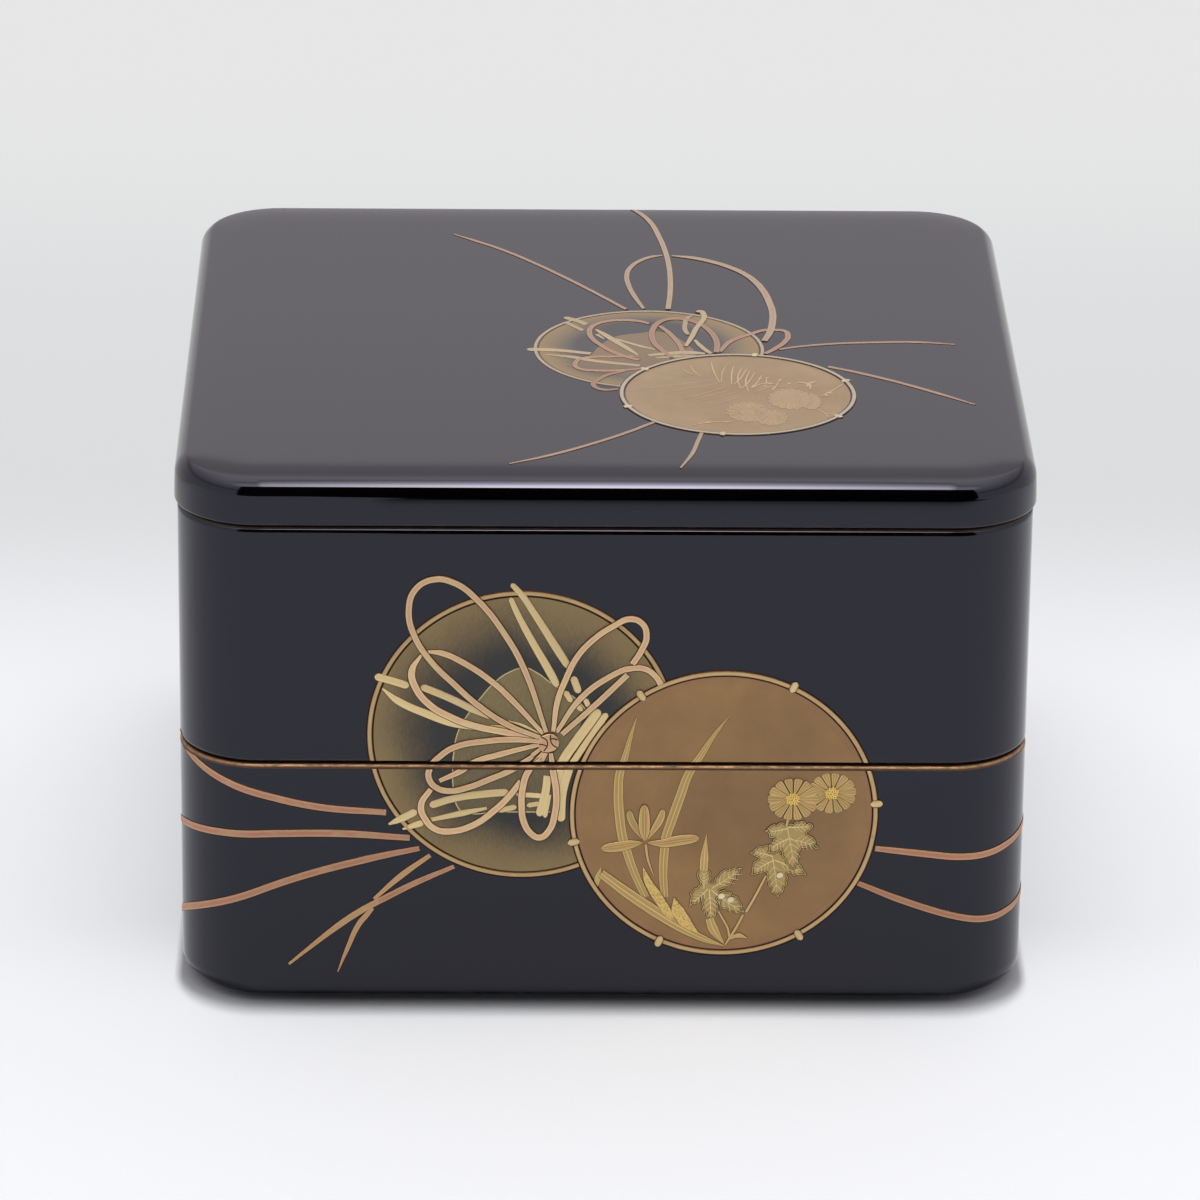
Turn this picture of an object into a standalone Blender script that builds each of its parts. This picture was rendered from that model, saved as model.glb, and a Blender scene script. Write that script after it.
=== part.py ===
"""A two-tier lacquered stacking box with a lift-off lid. Metres, +Z up, origin under the middle of the foot."""

import bpy
import bmesh
from mathutils import Vector

# Plan of the tiers: a square with round corners.
WIDTH = 0.195
CORNER_RADIUS = 0.019
CORNER_SEGMENTS = 12

# Height of one tier, from the bottom of its foot to the top of its rim. Both tiers are alike.
TIER_HEIGHT = 0.0595
FOOT_HEIGHT = 0.0017
WALL = 0.0048
BOARD = 0.006  # bottom board, with the foot under it
RIM_ROUND = 0.0013
BASE_ROUND = 0.0024
INSIDE_ROUND = 0.003
FOOT_EDGE = 0.0004

# The foot drops into the mouth of the tier below, and the lid's lip into the upper tier's mouth.
PLAY = 0.0005
FOOT_INSET = WALL + PLAY
REST_GAP = 0.0003

# The lid overlaps the wall a little, and is hollow underneath.
LID_OVERHANG = 0.0007
LID_HEIGHT = 0.011
LID_TOP = 0.0045
LIP_DEPTH = 0.002
LIP_WIDTH = 0.0026
SHOULDER_ROUND = 0.0036
SKIRT_EDGE = 0.0006
LIP_EDGE = 0.0005
CEILING_ROUND = 0.0025

# How far two heights or insets may differ and still be the same.
TOUCH = 0.00005

LACQUER_BLACK = (0.0052, 0.0048, 0.0058, 1.0)


def clear_scene():
    for obj in list(bpy.data.objects):
        bpy.data.objects.remove(obj, do_unlink=True)


def new_collection(name):
    collection = bpy.data.collections.new(name)
    bpy.context.scene.collection.children.link(collection)
    return collection


def lacquer_material(name):
    material = bpy.data.materials.new(name)
    material.use_nodes = True
    shader = material.node_tree.nodes["Principled BSDF"]
    shader.inputs["Base Color"].default_value = LACQUER_BLACK
    shader.inputs["Roughness"].default_value = 0.07
    shader.inputs["Metallic"].default_value = 0.0
    material.diffuse_color = LACQUER_BLACK
    return material


def rounded_slab(bm, half, radius, low, high):
    """A square block from low to high, with its four standing edges rounded."""
    bmesh.ops.create_cube(bm, size=1.0)
    middle = Vector((0.0, 0.0, (low + high) / 2))
    bmesh.ops.scale(bm, vec=(half * 2, half * 2, high - low), verts=bm.verts)
    bmesh.ops.translate(bm, vec=middle, verts=bm.verts)
    standing = [e for e in bm.edges if abs(e.verts[0].co.z - e.verts[1].co.z) > TOUCH]
    bmesh.ops.bevel(
        bm,
        geom=standing,
        offset=radius,
        segments=CORNER_SEGMENTS,
        profile=0.5,
        affect="EDGES",
    )


def level_face(bm, height, up):
    """The whole level face at this height that looks up, or down."""
    for face in bm.faces:
        level = all(abs(v.co.z - height) < TOUCH for v in face.verts)
        if level and (face.normal.z > 0.5) == up and len(face.verts) > 4:
            return face
    raise ValueError(f"no level face at {height}")


def step_in(bm, height, up, inset, to_height):
    """Insets the level face at this height, and moves what is inside it to another height."""
    bm.normal_update()
    face = level_face(bm, height, up)
    bmesh.ops.inset_region(bm, faces=[face], thickness=inset, use_even_offset=True)
    pushed = bmesh.ops.extrude_discrete_faces(bm, faces=[face])["faces"][0]
    for vert in pushed.verts:
        vert.co.z = to_height
    bm.normal_update()


def edge_ring(bm, height, half):
    """The level edges at this height on the outline whose straight sides lie at half from the middle."""
    found = []
    for edge in bm.edges:
        if all(abs(v.co.z - height) < TOUCH for v in edge.verts):
            found.append(edge)
    return [e for e in found if on_outline(e, half)]


def on_outline(edge, half):
    radius = corner_radius(half)
    return all(abs(outline_distance(v.co, half, radius)) < TOUCH for v in edge.verts)


def corner_radius(half):
    """All the outlines share the same corner centres, so a corner's radius follows from its outline."""
    return CORNER_RADIUS - (WIDTH / 2 - half)


def outline_distance(point, half, radius):
    """How far a point lies outside the rounded square."""
    over_x = abs(point.x) - (half - radius)
    over_y = abs(point.y) - (half - radius)
    outside = Vector((max(over_x, 0.0), max(over_y, 0.0))).length
    return outside + min(max(over_x, over_y), 0.0) - radius


def round_ring(bm, height, half, radius, segments):
    ring = edge_ring(bm, height, half)
    bmesh.ops.bevel(
        bm, geom=ring, offset=radius, segments=segments, profile=0.5, affect="EDGES"
    )


def finished_object(bm, name, material, collection, parent, height):
    """Turns the mesh into a named object whose origin is at the bottom of its own base."""
    mesh = bpy.data.meshes.new(name)
    bm.normal_update()
    bm.to_mesh(mesh)
    bm.free()
    mesh.materials.append(material)
    mesh.shade_smooth()
    mesh.set_sharp_from_angle(angle=0.6)
    obj = bpy.data.objects.new(name, mesh)
    collection.objects.link(obj)
    obj.location = (0.0, 0.0, height)
    obj.parent = parent
    return obj


def tier(name, height, material, collection, parent):
    """An open tray with an inset foot, standing at this height."""
    half = WIDTH / 2
    bm = bmesh.new()
    rounded_slab(bm, half, CORNER_RADIUS, FOOT_HEIGHT, TIER_HEIGHT)
    step_in(bm, TIER_HEIGHT, True, WALL, BOARD)
    step_in(bm, FOOT_HEIGHT, False, FOOT_INSET, 0.0)
    round_ring(bm, TIER_HEIGHT, half, RIM_ROUND, 3)
    round_ring(bm, TIER_HEIGHT, half - WALL, RIM_ROUND, 2)
    round_ring(bm, BOARD, half - WALL, INSIDE_ROUND, 3)
    round_ring(bm, FOOT_HEIGHT, half, BASE_ROUND, 3)
    round_ring(bm, 0.0, half - FOOT_INSET, FOOT_EDGE, 1)
    return finished_object(bm, name, material, collection, parent, height)


def lid(name, height, material, collection, parent):
    """The lid, whose skirt stands at this height, with the locating lip below it."""
    half = WIDTH / 2 + LID_OVERHANG
    lip_half = WIDTH / 2 - FOOT_INSET
    bm = bmesh.new()
    rounded_slab(bm, half, corner_radius(half), 0.0, LID_HEIGHT)
    step_in(bm, 0.0, False, half - lip_half, -LIP_DEPTH)
    step_in(bm, -LIP_DEPTH, False, LIP_WIDTH, LID_HEIGHT - LID_TOP)
    round_ring(bm, LID_HEIGHT, half, SHOULDER_ROUND, 6)
    round_ring(bm, 0.0, half, SKIRT_EDGE, 2)
    round_ring(bm, -LIP_DEPTH, lip_half, LIP_EDGE, 1)
    round_ring(bm, -LIP_DEPTH, lip_half - LIP_WIDTH, LIP_EDGE, 1)
    round_ring(bm, LID_HEIGHT - LID_TOP, lip_half - LIP_WIDTH, CEILING_ROUND, 3)
    return finished_object(bm, name, material, collection, parent, height)


def build():
    clear_scene()
    box = new_collection("lacquer_stacking_box")
    lacquer = lacquer_material("black_lacquer")
    stack = bpy.data.objects.new("stack", None)
    box.objects.link(stack)
    # The upper tier's wall stands on the lower rim, and the lid's skirt on the upper one.
    upper_height = TIER_HEIGHT + REST_GAP - FOOT_HEIGHT
    lid_height = upper_height + TIER_HEIGHT + REST_GAP
    tier("lower_tier", 0.0, lacquer, box, stack)
    tier("upper_tier", upper_height, lacquer, box, stack)
    lid("lid", lid_height, lacquer, box, stack)


build()
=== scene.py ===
from math import acos, atan2, copysign, cos, degrees, hypot, pi, radians, sin, sqrt, tan

import bmesh
import bpy
from mathutils import Matrix, Vector


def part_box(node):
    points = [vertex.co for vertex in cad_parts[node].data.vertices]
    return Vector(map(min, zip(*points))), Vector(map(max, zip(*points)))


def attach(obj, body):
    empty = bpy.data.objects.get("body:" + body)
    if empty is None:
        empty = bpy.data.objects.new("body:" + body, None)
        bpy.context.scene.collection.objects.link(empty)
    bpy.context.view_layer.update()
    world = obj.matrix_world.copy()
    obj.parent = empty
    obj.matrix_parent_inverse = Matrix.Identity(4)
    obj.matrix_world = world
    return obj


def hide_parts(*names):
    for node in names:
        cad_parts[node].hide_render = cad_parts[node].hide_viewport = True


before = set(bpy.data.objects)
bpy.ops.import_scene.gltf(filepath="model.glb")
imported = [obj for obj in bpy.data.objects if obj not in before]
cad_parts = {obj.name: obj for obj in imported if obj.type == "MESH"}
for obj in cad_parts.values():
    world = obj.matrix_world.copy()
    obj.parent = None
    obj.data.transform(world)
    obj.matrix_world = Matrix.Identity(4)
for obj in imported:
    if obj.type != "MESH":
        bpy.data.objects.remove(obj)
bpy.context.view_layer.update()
mm = 0.001

print("lacquer box: frame loaded")


class Wire:
    # one socket; a sum or comparison written with it adds a Math node
    def __init__(self, nodes, socket):
        self.nodes = nodes
        self.socket = socket

    def maths(self, operation, *values):
        return self.nodes.add("ShaderNodeMath", {"operation": operation}, values)

    def out(self, name):
        return Wire(self.nodes, self.socket.node.outputs[name])

    def root(self):
        return self.maths("SQRT", self.atLeast(0.0))

    def step(self, low, high):
        # 0 below low, 1 above high, smooth between; high may be the smaller
        ends = [low, high, 0.0, 1.0] if low < high else [high, low, 1.0, 0.0]
        return self.nodes.add("ShaderNodeMapRange", {"interpolation_type": "SMOOTHSTEP"}, [self] + ends)


def forward(operation):
    return lambda self, *others: self.maths(operation, self, *others)


def backward(operation):
    return lambda self, other: self.maths(operation, other, self)


bothWays = {"add": "ADD", "sub": "SUBTRACT", "mul": "MULTIPLY", "truediv": "DIVIDE"}
oneWay = {
    "__pow__": "POWER", "__gt__": "GREATER_THAN", "__lt__": "LESS_THAN", "atLeast": "MAXIMUM",
    "atMost": "MINIMUM", "size": "ABSOLUTE", "sign": "SIGN", "sine": "SINE", "cosine": "COSINE",
    "exponent": "EXPONENT", "fraction": "FRACT",
}
for label, operation in bothWays.items():
    setattr(Wire, f"__{label}__", forward(operation))
    setattr(Wire, f"__r{label}__", backward(operation))
for label, operation in oneWay.items():
    setattr(Wire, label, forward(operation))


class Nodes:
    # adds nodes to one tree; each call gives the new node's output as a wire
    def __init__(self, tree):
        self.tree = tree

    def add(self, kind, settings=None, inputs=(), output=0):
        node = self.tree.nodes.new(kind)
        for key, value in (settings or {}).items():
            setattr(node, key, value)
        pairs = inputs.items() if isinstance(inputs, dict) else enumerate(inputs)
        for key, value in pairs:
            if isinstance(value, Wire):
                self.tree.links.new(value.socket, node.inputs[key])
            else:
                node.inputs[key].default_value = value
        return Wire(self, node.outputs[output]) if node.outputs else node

    def mix(self, amount, first, second):
        return self.add("ShaderNodeMix", {"data_type": "RGBA"}, {"Factor": amount, 6: first, 7: second}, 2)

    def scaled(self, colour, amount):
        # a colour made lighter or darker by a value that varies
        grey = self.add("ShaderNodeCombineColor", None, [amount, amount, amount])
        settings = {"data_type": "RGBA", "blend_type": "MULTIPLY"}
        return self.add("ShaderNodeMix", settings, {"Factor": 1.0, 6: colour, 7: grey}, 2)

    def noise(self, where, scale, detail=2.0, roughness=0.5):
        inputs = {"Vector": where, "Scale": scale, "Detail": detail, "Roughness": roughness}
        return self.add("ShaderNodeTexNoise", None, inputs)

    def vector(self, x, y, z):
        return self.add("ShaderNodeCombineXYZ", None, [x, y, z])

    def parts(self, vector):
        x = self.add("ShaderNodeSeparateXYZ", None, [vector])
        return x, x.out("Y"), x.out("Z")

    def attribute(self, name):
        return self.add("ShaderNodeAttribute", {"attribute_name": name}, (), "Fac")

    def place(self, kind="Object"):
        return self.add("ShaderNodeTexCoord", None, (), kind)

    def stretched(self, where, amounts):
        return self.add("ShaderNodeVectorMath", {"operation": "MULTIPLY"}, [where, amounts])

    def bump(self, strength, depth, height):
        return self.add("ShaderNodeBump", None, {"Strength": strength, "Distance": depth, "Height": height})


def newLook(name):
    material = bpy.data.materials.new(name)
    material.use_nodes = True
    material.node_tree.nodes.clear()
    return material, Nodes(material.node_tree)


def endLook(nodes, inputs):
    shader = nodes.add("ShaderNodeBsdfPrincipled", None, inputs)
    nodes.add("ShaderNodeOutputMaterial", None, [shader])


def endGold(nodes, colour, roughness, metallic, bump):
    inputs = {"Base Color": colour, "Roughness": roughness, "Metallic": metallic, "Normal": bump}
    endLook(nodes, {**inputs, "IOR": 1.5})


def shade(red, green, blue):
    # a colour as a paint chart gives it, 0 to 255, made linear
    def linear(value):
        value = value / 255
        return value / 12.92 if value <= 0.04045 else ((value + 0.055) / 1.055) ** 2.4
    return (linear(red), linear(green), linear(blue), 1.0)


def addObject(name, data):
    made = bpy.data.objects.new(name, data)
    bpy.context.scene.collection.objects.link(made)
    return made


cameraSet = {
    "lens": 218.1, "sensor": 36.0, "nearest": 0.05, "farthest": 60.0,
    "distance": 1.7497, "height": 21.61, "aside": -0.906, "roll": 0.58,
    "aim": (0.2 * mm, 0.0, 61.5 * mm),
}


def addCamera():
    height, aside, roll = (radians(cameraSet[key]) for key in ("height", "aside", "roll"))
    level = cos(height)
    back = Vector((sin(aside) * level, -cos(aside) * level, sin(height)))
    right = Vector((0, 0, 1)).cross(back).normalized()
    up = back.cross(right)
    tiltedRight = right * cos(roll) + up * sin(roll)
    tiltedUp = up * cos(roll) - right * sin(roll)
    camera = bpy.data.cameras.new("camera")
    camera.lens = cameraSet["lens"]
    camera.sensor_width = cameraSet["sensor"]
    camera.clip_start = cameraSet["nearest"]
    camera.clip_end = cameraSet["farthest"]
    holder = addObject("camera", camera)
    turn = Matrix((tiltedRight, tiltedUp, back)).transposed().to_4x4()
    place = Vector(cameraSet["aim"]) + back * cameraSet["distance"]
    holder.matrix_world = Matrix.Translation(place) @ turn
    bpy.context.scene.camera = holder


def plane(name, corners, material):
    mesh = bpy.data.meshes.new(name)
    mesh.from_pydata(corners, [], [tuple(range(len(corners)))])
    mesh.materials.append(material)
    piece = addObject(name, mesh)
    return piece


def onlyMirrored(piece):
    # seen in the polish and by nothing else
    piece.visible_camera = False
    piece.visible_diffuse = False
    piece.visible_shadow = False


# metres; each pair is where a change starts and where it is complete
paperSet = {
    "half": 9.0, "grain": 900.0, "bump": 0.0002, "roughness": 0.85,
    # the paper's tones: near the box, a painted shade band behind it, and farther back
    "near": shade(250, 252, 254), "shadeBand": shade(217, 220, 219), "far": shade(227, 229, 226),
    "shadeBandAt": (0.050, 0.250), "farAt": (0.30, 0.62), "footRound": 19.0,
    # the painted shadow round the foot of the box: how dark it is, how fast it fades per metre, and where it
    # reaches
    "frontShadow": 0.60, "frontShadowFade": -285.0, "frontShadowAt": (-0.088, -0.096), "frontShadowEnds": (0.100, 0.062),
    "sideShadow": 0.17, "sideShadowFade": -42.0, "sideShadowFront": (-0.085, -0.045), "sideShadowBack": (0.16, 0.06),
}


def floorLook():
    # white paper, with a painted shade band behind the box where a backdrop would rise, and a little lighter
    # again farther back
    material, nodes = newLook("floor paper")
    where = nodes.place()
    x, y, _ = nodes.parts(where)
    paper = nodes.noise(where, paperSet["grain"], 3.0)
    colour = nodes.mix(y.step(*paperSet["shadeBandAt"]), paperSet["near"], paperSet["shadeBand"])
    colour = nodes.mix(y.step(*paperSet["farAt"]), colour, paperSet["far"])
    # painted shadow where the box stands: narrow in front, wider along its two sides
    corner = paperSet["footRound"] * mm
    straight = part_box("lower_tier")[1].x - corner
    outX = (x.size() - straight).atLeast(0.0)
    outY = (y.size() - straight).atLeast(0.0)
    away = ((outX * outX + outY * outY).root() - corner).atLeast(0.0)
    front = y.step(*paperSet["frontShadowAt"]) * x.size().step(*paperSet["frontShadowEnds"])
    side = y.step(*paperSet["sideShadowFront"]) * y.step(*paperSet["sideShadowBack"])
    paintedShadow = 1.0 - paperSet["frontShadow"] * (away * paperSet["frontShadowFade"]).exponent() * front
    paintedShadow = paintedShadow - paperSet["sideShadow"] * (away * paperSet["sideShadowFade"]).exponent() * side
    colour = nodes.scaled(colour, (0.985 + 0.03 * paper) * paintedShadow)
    bump = nodes.bump(0.05, paperSet["bump"], paper)
    endLook(nodes, {"Base Color": colour, "Normal": bump, "Roughness": paperSet["roughness"], "IOR": 1.3})
    return material


keySet = {"place": (0.0, 1.20, 36.0), "wide": 0.60, "deep": 2.16, "power": 7130.0}


def addKey():
    # a small light high above, so the box casts a narrow shadow all round its foot
    light = bpy.data.lights.new("key light", "AREA")
    light.shape = "RECTANGLE"
    light.size = keySet["wide"]
    light.size_y = keySet["deep"]
    light.energy = keySet["power"]
    light.color = (1.0, 1.0, 1.0)
    lamp = addObject("key light", light)
    lamp.location = keySet["place"]
    lamp.visible_glossy = False


glowSet = {
    "aim": (0.023, -0.097, 0.127), "distance": 1.25, "height": 66.0,
    "wide": 2.00, "near": 0.40, "far": 0.75,
    "power": 13.4, "colour": (1.0, 0.948, 0.93, 1), "spread": 0.1485, "sideLeast": 0.17,
    "evenTo": -0.147, "fall": -2.84, "stop": (-0.385, -0.345), "dim": (2.0, 0.8), "dimEnds": (0.45, 0.95),
}


def glowLook():
    # brightest along its front edge, where it stops short, and fading upward and to the sides
    material, nodes = newLook("lit cloth")
    x, y, _ = nodes.parts(nodes.place())
    side = x / glowSet["spread"]
    across = (-1.0 * side * side).exponent().atLeast(glowSet["sideLeast"])
    bright = (y.atLeast(glowSet["evenTo"]) * glowSet["fall"]).exponent() * across * glowSet["power"]
    inputs = {"Color": glowSet["colour"], "Strength": bright * y.step(*glowSet["stop"])}
    light = nodes.add("ShaderNodeEmission", None, inputs)
    # where it has grown dim the room shows through
    clear = nodes.add("ShaderNodeBsdfTransparent")
    dim = bright.step(*glowSet["dim"]).atLeast(x.size().step(*glowSet["dimEnds"]))
    mixed = nodes.add("ShaderNodeMixShader", None, [dim, light, clear])
    nodes.add("ShaderNodeOutputMaterial", None, [mixed])
    return material


def addGlow():
    # the soft cloth that the polished shoulder shows as a bright line
    wide = glowSet["wide"] / 2
    near = -glowSet["near"]
    far = glowSet["far"]
    glow = plane("soft cloth", [(-wide, near, 0), (-wide, far, 0), (wide, far, 0), (wide, near, 0)],
                 glowLook())
    height = radians(glowSet["height"])
    away = Vector((0, -cos(height), sin(height)))
    place = Vector(glowSet["aim"]) + away * glowSet["distance"]
    glow.matrix_world = Matrix.Translation(place) @ away.to_track_quat("Z", "Y").to_matrix().to_4x4()
    onlyMirrored(glow)


darkSet = {
    "colour": (0.0006, 0.0006, 0.0008, 1), "near": 0.46, "middle": 0.80, "far": 1.25, "top": 1.43,
    "left": 0.95, "right": 1.20, "leftTaper": 0.30, "rightTaper": 0.55, "taperLift": 4.4,
    "liftFrom": 0.055, "liftSlope": -3.4, "liftMost": 0.14, "outward": 3.4, "upward": -0.03,
}


def darkLook():
    # the table falls away into the dark in front
    material, nodes = newLook("dark room")
    where = nodes.place()
    x, y, z = nodes.parts(where)
    dark = nodes.scaled(darkSet["colour"], 0.5 + nodes.noise(where, 3.0))
    # toward the left the dark starts farther out and higher up
    lift = ((x + darkSet["liftFrom"]) * darkSet["liftSlope"]).atLeast(0.0).atMost(darkSet["liftMost"])
    # and it narrows to nothing at both ends
    pastRight = x - darkSet["right"] + darkSet["rightTaper"]
    pastLeft = -1.0 * x - darkSet["left"] + darkSet["leftTaper"]
    end = pastRight.atLeast(pastLeft).atLeast(0.0)
    lift = lift + end * end * darkSet["taperLift"]
    near = y + darkSet["outward"] * lift
    pale = near.step(-darkSet["middle"], -darkSet["near"]).atLeast((z - lift).step(0.0, darkSet["upward"]))
    endLook(nodes, {"Base Color": dark, "Alpha": 1.0 - pale, "Roughness": 1.0, "Specular IOR Level": 0.0})
    return material


def addDark():
    # what the polished faces reflect in front
    material = darkLook()
    left, near, far = (-darkSet[key] for key in ("left", "near", "far"))
    right = darkSet["right"]
    top = darkSet["top"]
    down = [(left, near, mm), (right, near, mm), (right, far, mm), (left, far, mm)]
    upright = [(left, far, 0.0), (right, far, 0.0), (right, far, top), (left, far, top)]
    onlyMirrored(plane("dark floor", down, material))
    onlyMirrored(plane("dark wall", upright, material))


# high lists what is added at each height: how much, from where, to where
roomSet = {
    "behind": (0.832, 0.781, 0.826, 1), "front": (0.88, 0.89, 0.94, 1), "turn": (-0.5, 0.5),
    "high": ((-0.29, 0.354, 0.398), (0.50, 0.44, 0.56), (1.8, 0.50, 1.05)),
    "fill": 0.50, "fillFront": 0.50, "fillBack": 0.96, "backAt": (-0.7, 0.7),
    "fillLeft": 0.84, "fillRight": 0.16, "rightAt": (-0.5, 0.1),
}


def addRoom():
    # pale walls; what falls from them on dull surfaces is weaker than what gloss shows
    world = bpy.data.worlds.new("studio")
    world.use_nodes = True
    world.node_tree.nodes.clear()
    nodes = Nodes(world.node_tree)
    x, y, z = nodes.parts(nodes.place("Generated"))
    colour = nodes.mix(y.step(*roomSet["turn"]), roomSet["front"], roomSet["behind"])
    dull = nodes.add("ShaderNodeLightPath", None, (), "Is Diffuse Ray")
    # low down it is even, dips a little above that and grows bright overhead
    high = 1.0
    for amount, low, top in roomSet["high"]:
        high = high + amount * z.step(low, top)
    behind = roomSet["fillFront"] + roomSet["fillBack"] * y.step(*roomSet["backAt"])
    aside = roomSet["fillLeft"] + roomSet["fillRight"] * x.step(*roomSet["rightAt"])
    strength = high * (1.0 - dull) + roomSet["fill"] * behind * aside * dull
    back = nodes.add("ShaderNodeBackground", None, [colour, strength])
    nodes.add("ShaderNodeOutputWorld", None, [back])
    bpy.context.scene.world = world
    bpy.context.scene.view_settings.view_transform = "Standard"


def addStudio():
    half = paperSet["half"]
    plane("floor", [(-half, -half, 0), (half, -half, 0), (half, half, 0), (-half, half, 0)], floorLook())
    addKey()
    addGlow()
    addDark()
    addRoom()


addCamera()
addStudio()
print("camera and studio set")

# pits are the larger specks of dust, in millimetres: one in the upper wall, one in the lid
lacquerSet = {
    "deep": (0.0003, 0.0003, 0.0005, 1), "pale": (0.0006, 0.0006, 0.0009, 1),
    "thin": (0.045, 0.022, 0.012, 1), "pit": (0.0004, 0.0004, 0.0005, 1),
    "tint": (0.92, 0.92, 1.14, 1), "gloss": 0.035, "dust": (0.006, 0.014),
    "pits": ((-54.3, -97.5, 91.1), (53.2, 26.0, 128.9)), "pitWide": (0.22 * mm, 0.42 * mm),
}


def lacquerLook():
    # mirror-polished black over wood: faint waviness, hairlines, dust pits, brown where it wears thin
    material, nodes = newLook("black_lacquer")
    where = nodes.place()
    cloud = nodes.noise(where, 28.0, 3.0)
    haze = nodes.noise(where, 420.0, 4.0, 0.65)
    wave = nodes.noise(where, 55.0, 2.0)
    thin = nodes.attribute("edge") * nodes.noise(where, 260.0, 4.0, 0.7).step(0.42, 0.75)
    hair = nodes.noise(nodes.stretched(where, (1.0, 1.0, 0.06)), 2600.0, 2.0)
    scratch = hair.step(0.70, 0.78) * cloud.step(0.45, 0.7)
    cells = nodes.add("ShaderNodeTexVoronoi", None, {"Vector": where, "Scale": 34.0})
    pit = 1.0 - cells.step(*lacquerSet["dust"])
    for pitPlace in lacquerSet["pits"]:
        inputs = [where, tuple(value * mm for value in pitPlace)]
        away = nodes.add("ShaderNodeVectorMath", {"operation": "DISTANCE"}, inputs, 1)
        pit = pit.atLeast(1.0 - away.step(*lacquerSet["pitWide"]))
    colour = nodes.mix(cloud, lacquerSet["deep"], lacquerSet["pale"])
    colour = nodes.mix(thin * 0.8, colour, lacquerSet["thin"])
    colour = nodes.mix(pit, colour, lacquerSet["pit"])
    gloss = lacquerSet["gloss"] + 0.03 * haze.step(0.4, 0.8) + 0.08 * scratch + 0.16 * thin + 0.35 * pit
    bump = nodes.bump(0.30, 0.001, wave * 0.02 + scratch * -0.0006 + pit * -0.004)
    inputs = {"Base Color": colour, "Roughness": gloss, "Normal": bump, "IOR": 1.46}
    endLook(nodes, {**inputs, "Specular Tint": lacquerSet["tint"]})
    return material


def rimLook(name, bright, deep):
    # gold lacquer on a rim, a little rubbed toward brown, with painted shade turning it brown where it faces
    # up and where it turns under
    material, nodes = newLook(name)
    where = nodes.place()
    along = nodes.noise(where, 45.0, 3.0, 0.6)
    grain = nodes.noise(where, 5200.0, 2.0)
    rub = nodes.noise(where, 520.0, 4.0, 0.7)
    upward = nodes.parts(nodes.add("ShaderNodeNewGeometry", None, (), "Normal"))[2]
    rubbed = (rub + nodes.attribute("edge") * 0.16).step(0.50, 0.70)
    middle = [(a + b) // 2 for a, b in zip(bright, deep)]
    colour = nodes.mix(along.step(0.3, 0.7) * 0.6, shade(*bright), shade(*middle))
    colour = nodes.mix(rubbed * 0.45, colour, shade(*deep))
    # painted shade: brown on the top, under the foot of the tier above, and on the lower edge
    turnedShade = upward.step(0.72, 0.96).atLeast(upward.step(0.42, 0.24))
    colour = nodes.mix(turnedShade * 0.9, colour, shade(*deep))
    colour = nodes.scaled(colour, 0.85 + 0.3 * grain)
    bump = nodes.bump(0.3, 0.05 * mm, grain + rub)
    endGold(nodes, colour, 0.40 + 0.16 * rubbed + 0.1 * grain, 0.55 - 0.25 * rubbed, bump)
    return material


def goldLook(name, body, centre, rim, line=(66, 40, 20), vein=None, rows=1, metal=0.45, speck=None):
    # gold powder in a raised stroke; across runs from -1 to 1, and is 2 on the brown line beside it, which
    # is partly painted shade at the foot of the stroke
    material, nodes = newLook(name)
    where = nodes.place()
    across = nodes.attribute("across")
    off = across.size()
    tint = nodes.attribute("tint")
    powder = nodes.noise(where, 6500.0, 2.0, 0.6)
    patch = nodes.noise(where, 150.0, 3.0, 0.6)
    colour = nodes.mix(off.step(0.75, 0.20) * patch.step(0.32, 0.58), shade(*body), shade(*centre))
    # the edges take their own tone; on the blades, orchid and petals it is lighter, a painted highlight
    # along their rounded sides
    colour = nodes.mix(off.step(0.55, 0.92) * 0.8, colour, shade(*rim))
    if vein:
        part = ((across + 1.0) * ((rows + 1) / 2)).fraction()
        colour = nodes.mix((part - 0.5).size().step(0.33, 0.46) * 0.9, colour, shade(*vein))
    if speck:
        flake = nodes.noise(where, 2100.0, 3.0, 0.7).step(0.50, 0.62)
        colour = nodes.mix(flake * 0.8, colour, shade(*speck))
    colour = nodes.scaled(colour, 0.82 + 0.30 * powder + 0.16 * (tint - 0.5) + 0.18 * (patch - 0.5))
    side = off.step(1.3, 1.5)
    colour = nodes.mix(side, colour, shade(*line))
    bump = nodes.bump(0.4, 0.05 * mm, powder + patch * 0.5)
    endGold(nodes, colour, 0.40 + 0.16 * powder, metal * (1.0 - side) + side, bump)
    return material


# how far past edgeDark the dark line at the edge of a drum is complete, as a share of the radius
edgeSoft = 0.003


def drumPlace(nodes, drum, place):
    # the height above a drum's centre, and the distance from it in units of its radius; place is wall or lid
    where = nodes.place()
    x, y, z = nodes.parts(where)
    aside = x - drum["centre"][0] * mm
    above = (z if place == "wall" else y) - drum["centre"][1] * mm
    return where, above, (aside * aside + above * above).root() / (drum["radius"] * mm)


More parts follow.
